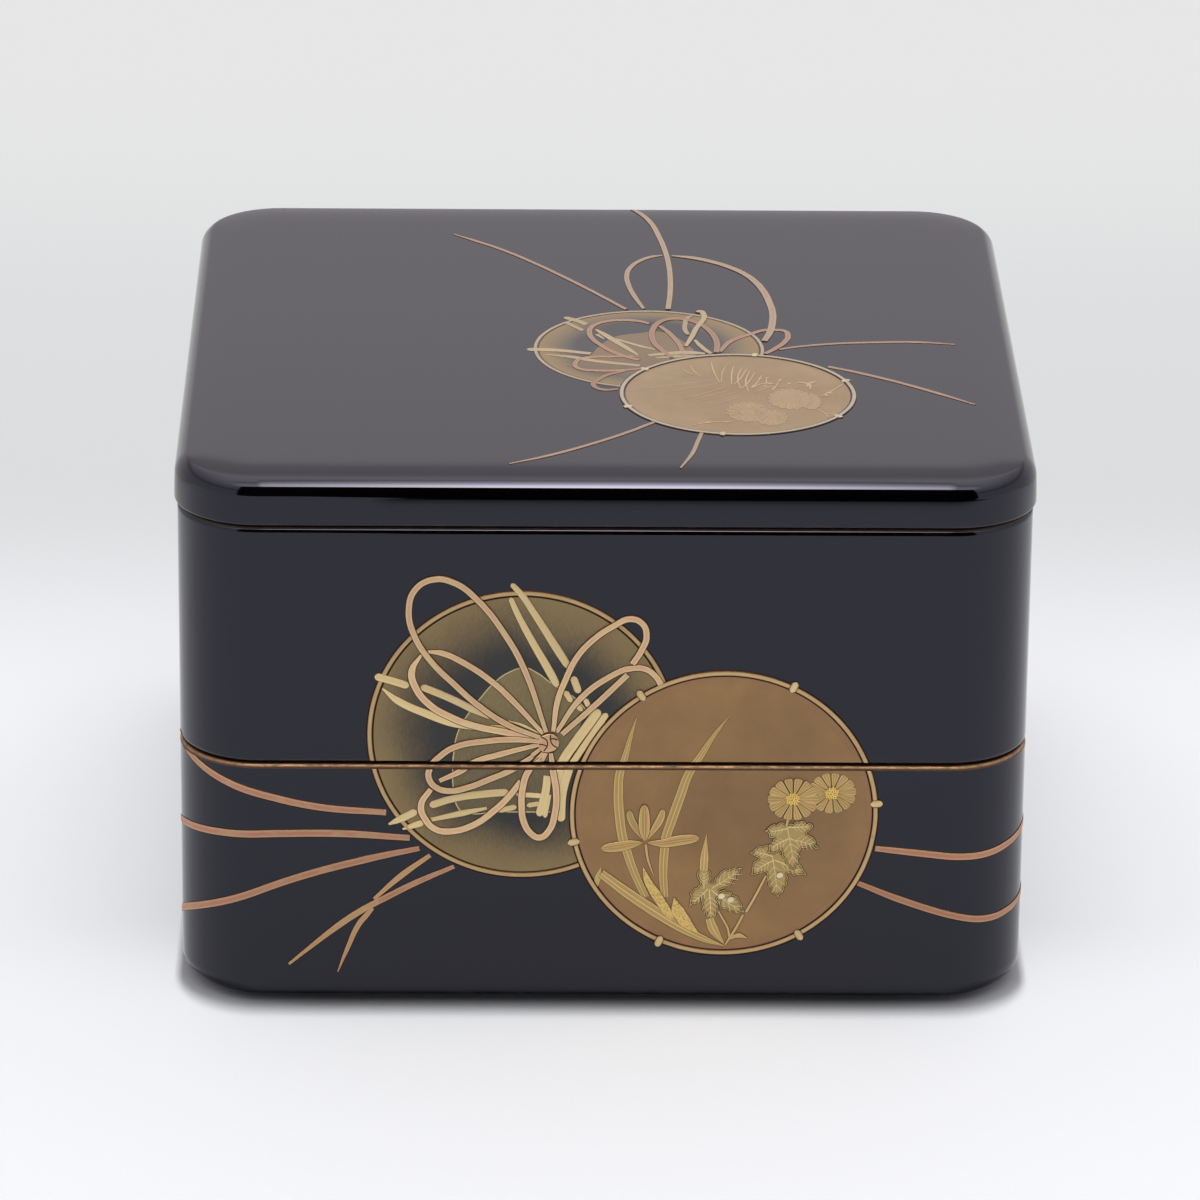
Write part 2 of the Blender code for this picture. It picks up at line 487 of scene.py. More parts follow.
def powderedLook(name, drum, place, tones, edgeDark, line=(60, 36, 22)):
    # a drum skin filled with gold powder: duller in the middle, more golden toward its rim, in soft clouds
    material, nodes = newLook(name)
    where, _, far = drumPlace(nodes, drum, place)
    cloud = nodes.noise(where, 30.0, 2.0, 0.5)
    second = nodes.noise(where, 52.0, 2.0, 0.5)
    grain = nodes.noise(where, 4800.0, 3.0, 0.7)
    mottle = nodes.noise(where, 150.0, 4.0, 0.6)
    middle, outer, patches, edge, last = (shade(*tone) for tone in tones)
    colour = nodes.mix((far * 0.55 + cloud * 1.1).step(0.55, 1.15), middle, outer)
    colour = nodes.mix(second.step(0.48, 0.72) * 0.6, colour, patches)
    colour = nodes.mix(far.step(0.93, 0.985) * 0.35, colour, edge)
    # a thin pale line near the edge: painted highlight along the skin's edge
    colour = nodes.mix(far.step(0.955, 0.965) * 0.55, colour, last)
    colour = nodes.scaled(colour, 0.67 + 0.26 * grain + 0.40 * mottle)
    dark = far.step(edgeDark, edgeDark + edgeSoft)
    colour = nodes.mix(dark, colour, shade(*line))
    endGold(nodes, colour, 0.42 + 0.14 * grain, 0.40 + 0.60 * dark, nodes.bump(0.25, 0.04 * mm, grain))
    return material


dustSet = {"deep": (0.0050, 0.0046, 0.0048, 1), "pale": (0.0080, 0.0074, 0.0068, 1),
           "fleck": (1.0, 0.34, 0.26)}


def sprinkledLook(name, drum, place, gold, edgeDark, inner=0.52, outer=1.00, evenly=None,
                  line=(54, 34, 22), lively=2.2):
    # black lacquer with gold dust in fine upright flecks, thick at the rim of the drum and gone by its
    # middle; or thicker upward, from the first to the second height given as evenly
    material, nodes = newLook(name)
    where, above, far = drumPlace(nodes, drum, place)
    cloud = nodes.noise(where, 42.0, 1.2, 0.5)
    fleck = nodes.noise(nodes.stretched(where, dustSet["fleck"]), 2600.0, 3.0, 0.72)
    if evenly:
        thick = (above / mm).step(*evenly) * 0.62 + 0.26 * cloud
    else:
        thick = (far + 0.34 * (cloud - 0.5)).step(inner, outer)
    uneven = (thick * (1.0 - thick)) * lively
    stray = 0.027 * lively * (fleck - 0.42)
    cover = (thick * 0.96 + uneven * (fleck - 0.5) + stray).atLeast(0.0).atMost(1.0)
    colour = nodes.mix(cover, nodes.mix(cloud, dustSet["deep"], dustSet["pale"]), shade(*gold))
    dark = far.step(edgeDark, edgeDark + edgeSoft)
    colour = nodes.mix(dark, colour, shade(*line))
    metallic = 0.40 * cover * (1.0 - dark) + dark
    endGold(nodes, colour, 0.06 + 0.40 * thick.atLeast(dark), metallic, nodes.bump(0.2, 0.03 * mm, fleck))
    return material


def newTree(name, inputs):
    # a geometry tree with named inputs; gate holds each input as a wire
    tree = bpy.data.node_groups.new(name, "GeometryNodeTree")
    tree.interface.new_socket("Geometry", in_out="INPUT", socket_type="NodeSocketGeometry")
    for label, kind in inputs:
        tree.interface.new_socket(label, in_out="INPUT", socket_type="NodeSocket" + kind)
    tree.interface.new_socket("Geometry", in_out="OUTPUT", socket_type="NodeSocketGeometry")
    nodes = Nodes(tree)
    first = nodes.add("NodeGroupInput")
    gate = {socket.name: Wire(nodes, socket) for socket in first.socket.node.outputs if socket.name}
    return tree, nodes, gate


def endTree(nodes, geometry, material):
    whole = nodes.add("GeometryNodeRealizeInstances", None, [geometry])
    painted = nodes.add("GeometryNodeSetMaterial", None, {"Geometry": whole, "Material": material})
    nodes.add("NodeGroupOutput", None, [painted])


def storeNumber(nodes, geometry, name, value, domain="POINT"):
    inputs = {"Geometry": geometry, "Name": name, "Value": value}
    return nodes.add("GeometryNodeStoreNamedAttribute", {"data_type": "FLOAT", "domain": domain}, inputs)


def runTree(piece, tree, values):
    # sets the inputs by identifier, then swaps the object for the plain mesh that comes out
    modifier = piece.modifiers.new(tree.name, "NODES")
    modifier.node_group = tree
    for item in tree.interface.items_tree:
        if item.item_type == "SOCKET" and item.in_out == "INPUT" and item.name in values:
            modifier[item.identifier] = values[item.name]
    bpy.context.view_layer.update()
    graph = bpy.context.evaluated_depsgraph_get()
    shaped = piece.evaluated_get(graph)
    mesh = bpy.data.meshes.new_from_object(shaped, preserve_all_data_layers=True, depsgraph=graph)
    name = piece.name
    mesh.name = name
    piece.modifiers.clear()
    bpy.data.objects.remove(piece)
    return addObject(name, mesh)


# points closer than join become one, and an edge shorter than least goes
mendSet = {"join": 0.002 * mm, "least": 0.0005 * mm}


def closeAndTurn(piece):
    # closes the open ends and turns every face outward
    build = bmesh.new()
    build.from_mesh(piece.data)
    bmesh.ops.remove_doubles(build, verts=build.verts, dist=mendSet["join"])
    bmesh.ops.dissolve_degenerate(build, edges=build.edges, dist=mendSet["least"])
    rims = [edge for edge in build.edges if edge.is_boundary]
    bmesh.ops.holes_fill(build, edges=rims, sides=0)
    bmesh.ops.recalc_face_normals(build, faces=build.faces)
    for face in build.faces:
        face.smooth = True
    build.to_mesh(piece.data)
    build.free()


def guide(name, points, closed, radii=None):
    # a plain line of straight steps, for a section that is swept
    curve = bpy.data.curves.new(name, "CURVE")
    curve.dimensions = "3D"
    spline = curve.splines.new("POLY")
    spline.points.add(len(points) - 1)
    for index, (x, y) in enumerate(points):
        spline.points[index].co = (x, y, 0, 1)
        spline.points[index].radius = radii[index] if radii else 1.0
    spline.use_cyclic_u = closed
    return addObject(name, curve)


# millimetres; reach is how far inward the floor of a section goes before it is closed across
tierSet = {
    "corner": 19.0, "wall": 4.8, "board": 6.0, "foot": 1.7, "footInset": 5.3, "footEdge": 0.4,
    "insideRound": 3.0, "reach": 18.6, "rounds": 520, "cornerSteps": 60,
}
edgeSet = {
    "lower": {"rimRound": 1.00, "rimBelow": 0.07, "rimGap": 0.06, "baseRound": 1.1},
    "upper": {"rimRound": 0.62, "rimBelow": 0.02, "rimGap": 1.2, "baseRound": 1.3},
}
# near a corner the foot of the lower wall is rounder than along the front
footSet = {
    "radius": 3.8, "turnFrom": 0.0, "turnFull": 66.0, "along": 25.0, "rises": (5.4, 4.4, 3.4, 2.4),
    "outerDeep": 3.0, "outerRise": 0.3,
}
lidSet = {
    "shoulder": 5.05, "shoulderDrop": 4.8, "brow": 1.75, "browStart": 35.0, "browEnd": 5.0, "crown": 15.0,
    "skirtTurn": 3.4, "skirtEdge": 0.6, "lipWide": 2.6, "lipEdge": 0.5, "play": 0.5, "restGap": 0.3,
    "ceilingRound": 2.5, "top": 4.5, "flatInset": 3.6,
}


def arc(cx, cy, radius, start, end, steps):
    # points round a small rounding, angles in degrees
    points = []
    for index in range(steps + 1):
        angle = radians(start + (end - start) * index / steps)
        points.append((cx + radius * cos(angle), cy + radius * sin(angle)))
    return points


def sweepTree():
    # carries a section round the rounded square; the section's x runs inward, its y runs up
    inputs = [("Section", "Object"), ("Width", "Float"), ("Corner", "Float")]
    inputs += [("Rounds", "Int"), ("Finish", "Material")]
    tree, nodes, gate = newTree("section round the box", inputs)
    sides = {"Width": gate["Width"], "Height": gate["Width"]}
    square = nodes.add("GeometryNodeCurvePrimitiveQuadrilateral", None, sides)
    corners = {"Curve": square, "Radius": gate["Corner"], "Count": tierSet["cornerSteps"]}
    path = nodes.add("GeometryNodeFilletCurve", {"mode": "POLY"}, corners)
    path = nodes.add("GeometryNodeResampleCurve", None, {"Curve": path, "Count": gate["Rounds"]})
    path = nodes.add("GeometryNodeSetCurveNormal", {"mode": "Z_UP"}, [path])
    section = nodes.add("GeometryNodeObjectInfo", None, {"Object": gate["Section"]}, "Geometry")
    section = storeNumber(nodes, section, "edge", nodes.add("GeometryNodeInputRadius"))
    swept = {"Curve": path, "Profile Curve": section, "Scale": 1.0}
    endTree(nodes, nodes.add("GeometryNodeCurveToMesh", None, swept), gate["Finish"])
    return tree


def sweepRound(name, section, halfWide, corner, look, closed=False):
    # section: (inset from the wall, height, wear) in metres
    points = [(-inset, -height) for inset, height, _ in section]
    line = guide(name + " section", points, closed, [wear for _, _, wear in section])
    start = addObject(name, bpy.data.meshes.new(name))
    values = {"Section": line, "Width": 2 * halfWide, "Corner": corner, "Finish": look}
    made = runTree(start, roundTree, {**values, "Rounds": tierSet["rounds"]})
    bpy.data.objects.remove(line)
    closeAndTurn(made)
    return made


def worn(points, wear=0.0):
    # gives points their wear; the short steps of 0.02 to 1.2 mm beside a rounding keep it crisp
    return [(x, y, wear) for x, y in points]


def tierSection(low, high, edges):
    # from the floor inside, up over the wall and round under the foot, in metres
    t = {key: value * mm for key, value in {**tierSet, **edges}.items()}
    floor = low + t["board"]
    rimStart = high - t["rimRound"]
    wallBase = low + t["foot"]
    inner = t["wall"] + t["insideRound"]
    edge = t["footEdge"]
    points = worn([(t["reach"], floor), (inner + 0.4 * mm, floor)])
    points += worn(arc(inner, floor + t["insideRound"], t["insideRound"], 270, 180, 8), 0.1)
    points += worn([(t["wall"], floor + t["insideRound"] + 0.5 * mm), (t["wall"], rimStart - 1.2 * mm)])
    points += worn([(t["wall"], rimStart), (t["wall"] - 0.1 * mm, rimStart + 0.02 * mm)], 0.3)
    points += worn([(0.1 * mm, rimStart + 0.02 * mm), (0.0, rimStart)], 0.3)
    points += worn([(0.0, rimStart - t["rimGap"])])
    points += worn([(0.0, wallBase + rise * mm) for rise in footSet["rises"]])
    points += worn([(0.0, wallBase + t["baseRound"] + 0.2 * mm)])
    points += worn(arc(t["baseRound"], wallBase + t["baseRound"], t["baseRound"], 180, 270, 10), 0.35)
    points += worn([(t["footInset"] - 0.3 * mm, wallBase), (t["footInset"], wallBase)])
    points += worn([(t["footInset"], wallBase - 0.3 * mm)])
    points += worn(arc(t["footInset"] + edge, low + edge, edge, 180, 270, 5), 0.8)
    points += worn([(t["footInset"] + 3 * edge, low), (t["reach"], low)])
    return points


def rimSection(high, edges):
    # the gold band over the rim, let a little way into the wall below
    t = {key: value * mm for key, value in {**tierSet, **edges}.items()}
    r = t["rimRound"]
    proud = 0.02 * mm
    under = high - r - t["rimBelow"]
    # wear is most on the lower edge and least on top; on the lower edge it adds to the brown painted shade
    points = worn([(-proud, under), (-proud, high - r)], 1.0)
    points += worn(arc(r - proud, high - r, r, 180, 90, 8), 0.4)
    points += worn([(r + 0.5 * mm, high), (t["wall"] - r - 0.5 * mm, high)], 0.2)
    points += worn(arc(t["wall"] - r + proud, high - r, r, 90, 0, 8), 0.4)
    points += worn([(t["wall"] + proud, under)], 0.9)
    points += worn([(t["wall"] - 0.4 * mm, under), (0.4 * mm, under)])
    return points


def lidShoulder(high, low):
    # a long faint crown, a tight brow, a rounder shoulder, and a skirt that leans in toward its top
    r = lidSet["shoulder"] * mm
    brow = lidSet["brow"] * mm
    start = radians(lidSet["browStart"])
    end = radians(lidSet["browEnd"])
    centre = high - lidSet["shoulderDrop"] * mm
    turn = radians(lidSet["skirtTurn"])
    tall = centre + r * sin(turn) - low
    lean = tall * tan(turn) / 2
    skirt = [(lean * share * share, low + tall * share) for share in (0.0, 0.25, 0.5, 0.75)]
    first = pi / 2 - turn
    curve = [(lean + r * (cos(turn) - sin(a)), centre + r * cos(a))
             for a in (first + (start - first) * index / 11 for index in range(12))]
    inset, height = curve[-1]
    middle = [(inset + brow * (sin(start) - sin(a)), height + brow * (cos(a) - cos(start)))
              for a in (start + (end - start) * index / 6 for index in range(1, 7))]
    inset, height = middle[-1]
    crown = lidSet["crown"] * mm
    drop = high - height
    power = end * crown / drop
    top = [(inset + crown * share, high - drop * (1 - share) ** power)
           for share in (0.08, 0.17, 0.27, 0.38, 0.50, 0.64, 0.80, 1.0)]
    return (skirt + curve + middle + top)[::-1]


def lidSection(low, high, overhang):
    t = {key: value * mm for key, value in lidSet.items()}
    wall = tierSet["wall"] * mm
    skirt = upperHigh.z + t["restGap"]
    ceiling = high - t["top"]
    lipOut = overhang + wall + t["play"]
    lipIn = lipOut + t["lipWide"]
    reach = tierSet["reach"] * mm + overhang
    hem, edge, turn = t["skirtEdge"], t["lipEdge"], t["ceilingRound"]
    points = worn([(reach, high)] + lidShoulder(high, skirt + hem + 0.3 * mm), 0.02)
    points += worn(arc(hem, skirt + hem, hem, 180, 270, 5), 0.7)
    points += worn([(3 * hem, skirt), (lipOut - 0.3 * mm, skirt), (lipOut, skirt)])
    points += worn([(lipOut, skirt - 0.3 * mm), (lipOut, low + 2 * edge)])
    points += worn(arc(lipOut + edge, low + edge, edge, 180, 270, 4), 0.8)
    points += worn(arc(lipIn - edge, low + edge, edge, 270, 360, 4), 0.8)
    points += worn([(lipIn, low + 2 * edge), (lipIn, ceiling - turn - 0.5 * mm)])
    points += worn(arc(lipIn + turn, ceiling - turn, turn, 180, 90, 8))
    points += worn([(lipIn + turn + 0.5 * mm, ceiling), (reach, ceiling)])
    return points


lidLow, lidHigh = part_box("lid")
upperLow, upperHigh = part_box("upper_tier")
lowerLow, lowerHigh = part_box("lower_tier")
wallHalf = upperHigh.x
straightHalf = wallHalf - tierSet["corner"] * mm
blackLacquer = lacquerLook()
rimGold = rimLook("rim_gold", (174, 138, 99), (82, 50, 28))
# the upper rim's gold is painted dark, as shade under the lid's overhang
shadedGold = rimLook("shaded_rim_gold", (62, 43, 32), (38, 25, 19))
roundTree = sweepTree()


def keep(piece, slotName, *stoodFor):
    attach(piece, "root")
    if stoodFor:
        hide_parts(*stoodFor)


def smooth(value, low, high):
    share = min(max((value - low) / (high - low), 0.0), 1.0)
    return share * share * (3 - 2 * share)


def drawnFoot(rise, radius):
    # how far a round foot is drawn in at a height above its base
    left = max(radius - rise, 0.0)
    return radius - sqrt(radius * radius - left * left)


def roundFoot(piece, base):
    big = footSet["radius"] * mm
    small = edgeSet["lower"]["baseRound"] * mm
    corner = tierSet["corner"] * mm
    inset = tierSet["footInset"] * mm
    for vertex in piece.data.vertices:
        x, y, z = vertex.co
        rise = z - base
        aside = max(abs(x) - straightHalf, 0.0)
        ahead = max(abs(y) - straightHalf, 0.0)
        if aside == 0.0 or not -0.01 * mm <= rise < big:
            continue
        far = hypot(aside, ahead)
        deep = corner - far
        if rise > footSet["outerRise"] * mm and deep > footSet["outerDeep"] * mm:
            continue  # inside the tier
        amount = smooth(degrees(atan2(aside, ahead)), footSet["turnFrom"], footSet["turnFull"])
        amount *= 1.0 - smooth(straightHalf - abs(y), 0.0, footSet["along"] * mm)
        amount *= min(max((inset - deep) / (inset - small), 0.0), 1.0)
        extra = amount * (drawnFoot(max(rise, 0.0), big) - drawnFoot(max(rise, 0.0), small))
        vertex.co.x -= copysign(extra * aside / far, x)
        vertex.co.y -= copysign(extra * ahead / far, y)


def addTiers():
    corner = tierSet["corner"] * mm
    # the upper rim's gold is painted dark brown, as shade under the overhanging lid
    tiers = (("lower_tier", lowerLow, lowerHigh, rimGold), ("upper_tier", upperLow, upperHigh, shadedGold))
    for node, low, high, gold in tiers:
        name = node.split("_")[0]
        edges = edgeSet[name]
        section = tierSection(low.z, high.z, edges)
        body = sweepRound(name + "TierBody", section, wallHalf, corner, blackLacquer)
        if name == "lower":
            roundFoot(body, low.z + tierSet["foot"] * mm)
        keep(body, "black_lacquer", node)
        rim = sweepRound(name + "TierRim", rimSection(high.z, edges), wallHalf, corner, gold, True)
        keep(rim, "gold_lacquer")


def addLid():
    overhang = lidHigh.x - wallHalf
    corner = tierSet["corner"] * mm + overhang
    section = lidSection(lidLow.z, lidHigh.z, overhang)
    body = sweepRound("lidBody", section, lidHigh.x, corner, blackLacquer)
    keep(body, "black_lacquer", "lid")


addTiers()
addLid()
print("tiers and lid made")

# The gold drawing is laid out flat in millimetres: across from the middle of the front and up from the
# table, then laid round the walls; on the lid, across and back from the middle of the top.
drums = {
    "flower": {"centre": (27.5, 47.6), "radius": 34.25},
    "cord": {"centre": (-18.8, 66.9), "radius": 34.25},
    "lidFlower": {"centre": (31.1, -40.1), "radius": 26.5},
    "lidCord": {"centre": (11.0, -9.1), "radius": 26.3},
}
relief = {
    "step": 0.45, "line": 0.17, "ring": 0.50, "joint": 60.4, "rimLine": 58.4,
    "base": 0.06, "level": 0.12, "lidBase": 0.055, "lidLevel": 0.04, "lidLine": 0.07,
    "lidEdge": 0.6, "lidFall": 0.35, "lidFallPower": 3.74,
    "plateRise": 0.012, "plateUnder": 0.1, "circleSteps": 160, "smoothSteps": 6,
}
# where the drawing is finer: the brown line beside a stroke, and the steps along it
fineLine = 0.10
fineStep = 0.3


def cordLine(start, middle, end, *points):
    # half widths in millimetres: at the first point, along the middle and at the last point
    halves = [start] + [middle] * (len(points) - 2) + [end]
    return [(x, y, half) for (x, y), half in zip(points, halves)]


def bluntEnd(end, inner):
    # the three points that round off an end, outermost first
    x, y, half = end
    length = hypot(inner[0] - x, inner[1] - y)
    dx = (inner[0] - x) / length
    dy = (inner[1] - y) / length
    shape = ((0.0, 0.35), (0.22, 0.75), (0.75, 1.0))
    return [(x + inward * half * dx, y + inward * half * dy, wide * half) for inward, wide in shape]


def rounded(half, *points, ends="both"):
    # a strap with blunt rounded ends: both, or only the first or the last
    line = [(x, y, half) for x, y in points]
    if ends != "last":
        line = bluntEnd(line[0], line[1]) + line[1:]
    if ends != "first":
        line = line[:-1] + bluntEnd(line[-1], line[-2])[::-1]
    return line


def pointed(half, first, widest, last, *points):
    # a blade or petal: narrow at both ends, widest part way along
    count = len(points) - 1
    line = []
    for index, (x, y) in enumerate(points):
        share = index / count
        if share <= widest:
            swell = share / widest if widest else 1.0
            low = first
        else:
            swell = (1 - share) / (1 - widest)
            low = last
        line.append((x, y, half * (low + (1 - low) * sin(swell * pi / 2) ** 0.9)))
    return line


def dot(x, y, length, half, angle):
    turn = radians(angle)
    dx = cos(turn) * length / 2
    dy = sin(turn) * length / 2
    return rounded(half, (x - dx, y - dy), (x, y), (x + dx, y + dy))


def ringArc(drum, start, end, half):
    points = arc(*drum["centre"], drum["radius"] + relief["ring"], start, end, 60)
    return [(x, y, half) for x, y in points]


def drawStrokes(name, strokes):
    # one smooth spline for each stroke, its radius the half width
    curve = bpy.data.curves.new(name, "CURVE")
    curve.dimensions = "3D"
    curve.resolution_u = 14
    for stroke in strokes:
        spline = curve.splines.new("BEZIER")
        spline.bezier_points.add(len(stroke) - 1)
        for knot, (x, y, half) in zip(spline.bezier_points, stroke):
            knot.co = (x * mm, y * mm, 0.0)
            knot.radius = half * mm
            knot.handle_left_type = "AUTO"
            knot.handle_right_type = "AUTO"
        spline.radius_interpolation = "EASE"
    return addObject(name, curve)


def strokeSection():
    # a low cushion, half width 1; its under side is let into the lacquer
    top = [(-1.0, 0.035), (-0.90, 0.085), (-0.62, 0.125), (-0.30, 0.138)]
    points = top + [(0.0, 0.14)] + [(-x, y) for x, y in reversed(top)]
    points += [(1.0, -0.30), (-1.0, -0.30)]
    return guide("stroke section", [(x, -y) for x, y in points], True)


def strokeTree(bend):
    inputs = [
        ("Section", "Object"), ("Step", "Float"), ("Line", "Float"), ("Lift", "Float"),
        ("Straight", "Float"), ("Corner", "Float"), ("Base", "Float"), ("Base Round", "Float"),
        ("Low", "Float"), ("High", "Float"), ("Top", "Float"), ("Seed", "Int"), ("Finish", "Material"),
    ]
    tree, nodes, gate = newTree("strokes laid " + bend, inputs)
    inputs = {"Curve": gate["Geometry"], "Length": gate["Step"]}
    path = nodes.add("GeometryNodeResampleCurve", {"mode": "LENGTH"}, inputs)
    path = nodes.add("GeometryNodeSetCurveNormal", {"mode": "Z_UP"}, [path])
    number = {"ID": nodes.add("GeometryNodeInputIndex"), "Seed": gate["Seed"]}
    tint = nodes.add("FunctionNodeRandomValue", {"data_type": "FLOAT"}, number, 1)
    path = storeNumber(nodes, path, "tint", tint, "CURVE")
    half = nodes.add("GeometryNodeInputRadius")
    # the cushion
    section = nodes.add("GeometryNodeObjectInfo", None, {"Object": gate["Section"]}, "Geometry")
    section = storeNumber(nodes, section, "across", nodes.parts(nodes.add("GeometryNodeInputPosition"))[0])
    swept = {"Curve": path, "Profile Curve": section, "Scale": half, "Fill Caps": True}
    cushion = nodes.add("GeometryNodeCurveToMesh", None, swept)
    # the thin brown line beside it, one width all along: the lacquer drawn under the gold, and partly
    # painted shade at the stroke's foot
    slab = nodes.add("GeometryNodeCurvePrimitiveQuadrilateral", None, {"Width": 2.0, "Height": 0.90})
    slab = nodes.add("GeometryNodeTransform", None, {"Geometry": slab, "Translation": (0.0, 0.42, 0.0)})
    slab = storeNumber(nodes, slab, "across", 2.0)
    swept = {"Curve": path, "Profile Curve": slab, "Scale": half * 0.97 + gate["Line"], "Fill Caps": True}
    border = nodes.add("GeometryNodeCurveToMesh", None, swept)
    both = nodes.add("GeometryNodeJoinGeometry", None, [cushion])
    nodes.tree.links.new(border.socket, both.socket.node.inputs[0])
    x, y, lift = nodes.parts(nodes.add("GeometryNodeInputPosition"))
    margin = gate["Step"] * 0.6
    outside = (y < gate["Low"] - margin).atLeast(y > gate["High"] + margin)
    inputs = {"Geometry": both, "Selection": outside}
    cut = nodes.add("GeometryNodeDeleteGeometry", {"domain": "FACE"}, inputs)
    kept = y.atLeast(gate["Low"]).atMost(gate["High"])
    lift = lift + gate["Lift"]
    if bend == "flat":
        # the lid falls away a little near its edge
        inward = gate["High"] + relief["lidEdge"] * mm - x.size().atLeast(kept.size())
        share = (inward / (lidSet["crown"] * mm)).atLeast(0.0).atMost(1.0)
        sunk = relief["lidFall"] * mm * (1.0 - share) ** relief["lidFallPower"]
        place = nodes.vector(x, kept, gate["Top"] + lift - sunk)
    else:
        across = x.size()
        beyond = (across - gate["Straight"]).atLeast(0.0)
        turn = (beyond / gate["Corner"]).atMost(pi / 2)
        onSide = (beyond - gate["Corner"] * (pi / 2)).atLeast(0.0)
        drop = (gate["Base"] + gate["Base Round"] - kept).atLeast(0.0).atMost(gate["Base Round"])
        inset = gate["Base Round"] - (gate["Base Round"] * gate["Base Round"] - drop * drop).root()
        reach = gate["Corner"] + lift - inset
        newX = (across.atMost(gate["Straight"]) + reach * turn.sine()) * x.sign()
        newY = onSide - gate["Straight"] - reach * turn.cosine()
        place = nodes.vector(newX, newY, kept)
    laid = nodes.add("GeometryNodeSetPosition", None, {"Geometry": cut, "Position": place})
    endTree(nodes, laid, gate["Finish"])
    return tree


sectionLine = strokeSection()
wallTree = strokeTree("round")
topTree = strokeTree("flat")


def shares(onLid):
    # which tiers take a drawing, and the tree and places for each
    if onLid:
        edge = lidHigh.y - lidSet["flatInset"] * mm
        return [("lid", topTree, {"Top": lidHigh.z, "Low": -edge, "High": edge})]
    bent = {"Straight": straightHalf, "Corner": tierSet["corner"] * mm}
    foot = tierSet["foot"] * mm
    upper = {"Base": upperLow.z + foot, "Low": relief["joint"] * mm, "High": upperHigh.z - 2 * mm}
    lower = {"Base": lowerLow.z + foot, "Low": 3 * mm, "High": relief["rimLine"] * mm}
    upper["Base Round"] = edgeSet["upper"]["baseRound"] * mm
    lower["Base Round"] = edgeSet["lower"]["baseRound"] * mm
    return [("upper", wallTree, {**bent, **upper}), ("lower", wallTree, {**bent, **lower})]


def layStrokes(name, strokes, gold, seed, level=0, line=None, step=None, onLid=False):
    # the same drawing runs over both tiers, so each tier takes its own share of it
    base, rise = ("lidBase", "lidLevel") if onLid else ("base", "level")
    usual = relief["lidLine"] if onLid else relief["line"]
    given = {
        "Section": sectionLine, "Seed": seed, "Finish": golds[gold],
        "Step": (step or relief["step"]) * mm,
        "Line": (usual if line is None else line) * mm,
        "Lift": (relief[base] + level * relief[rise]) * mm,
    }
    for part, tree, values in shares(onLid):
        low = values["Low"] / mm
        high = values["High"] / mm
        own = [stroke for stroke in strokes if any(low < y < high for _, y, _ in stroke)]
        if not own:
            continue
        piece = runTree(drawStrokes(part + name, own), tree, {**given, **values})
        closeAndTurn(piece)
        keep(piece, "gold_lacquer")


def layOnLid(name, strokes, gold, seed, level=0, line=None, step=None):
    layStrokes(name, strokes, gold, seed, level, line, step, True)


def drawnIn(height):
    # how far the upper wall is drawn in near its round foot, all in millimetres
    rise = height - upperLow.z / mm - tierSet["foot"]
    return 0.0 if rise < 0.0 else drawnFoot(rise, edgeSet["upper"]["baseRound"])


def skinPlate(name, outlines, look, onLid, proud, raised=True):
    # thin filled shapes on the front wall or the lid, each a hair higher than the one before if raised
    build = bmesh.new()
    for order, outline in enumerate(outlines):
        lift = (proud + relief["plateRise"] * order if raised else proud) * mm
        rows = []
        for z in (lift, -relief["plateUnder"] * mm):
            if onLid:
                places = [(x * mm, y * mm, lidHigh.z + z) for x, y in outline]
            else:
                places = [(x * mm, drawnIn(y) * mm - wallHalf - z, y * mm) for x, y in outline]
            rows.append([build.verts.new(place) for place in places])
        top, under = rows
        build.faces.new(top)
        build.faces.new(under[::-1])
        for index in range(len(outline)):
            other = (index + 1) % len(outline)
            build.faces.new([top[index], top[other], under[other], under[index]])
    bmesh.ops.recalc_face_normals(build, faces=build.faces)
    mesh = bpy.data.meshes.new(name)
    build.to_mesh(mesh)
    build.free()
    mesh.materials.append(look)
    keep(addObject(name, mesh), "gold_lacquer")


def circleOutline(drum):
    return arc(*drum["centre"], drum["radius"], 0, 360, relief["circleSteps"])[:-1]


def between(outline, low, high):
    # the part of an outline between two heights
    for height, side in ((low, 1), (high, -1)):
        part = []
        for index, (x, y) in enumerate(outline):
            beforeX, beforeY = outline[index - 1]
            inside = side * (y - height) >= 0
            if inside != (side * (beforeY - height) >= 0):
                share = (height - beforeY) / (y - beforeY)
                part.append((beforeX + (x - beforeX) * share, height))
            if inside:
                part.append((x, y))
        outline = part
    return outline


def lensOutline(back, front):
    # the back drum's circle less the part that the front drum hides, and in degrees where that part lies
    bx, by = back["centre"]
    fx, fy = front["centre"]
    br = back["radius"]
    fr = front["radius"] + 2 * relief["ring"]
    gap = hypot(fx - bx, fy - by)
    toFront = degrees(atan2(fy - by, fx - bx))
    openBack = degrees(acos((gap * gap + br * br - fr * fr) / (2 * gap * br)))
    openFront = degrees(acos((gap * gap + fr * fr - br * br) / (2 * gap * fr)))
    steps = relief["circleSteps"]
    points = arc(bx, by, br, toFront + openBack, toFront + 360 - openBack, steps)
    points += arc(fx, fy, fr, toFront + 180 + openFront, toFront + 180 - openFront, steps // 2)[1:-1]
    return points, toFront, openBack


def bentThrough(t, a, b, c, d):
    # a value part way from b to c, on the curve that also passes a and d
    square = (2 * a - 5 * b + 4 * c - d) * t * t
    return 0.5 * (2 * b + (c - a) * t + square + (3 * b - a - 3 * c + d) * t ** 3)


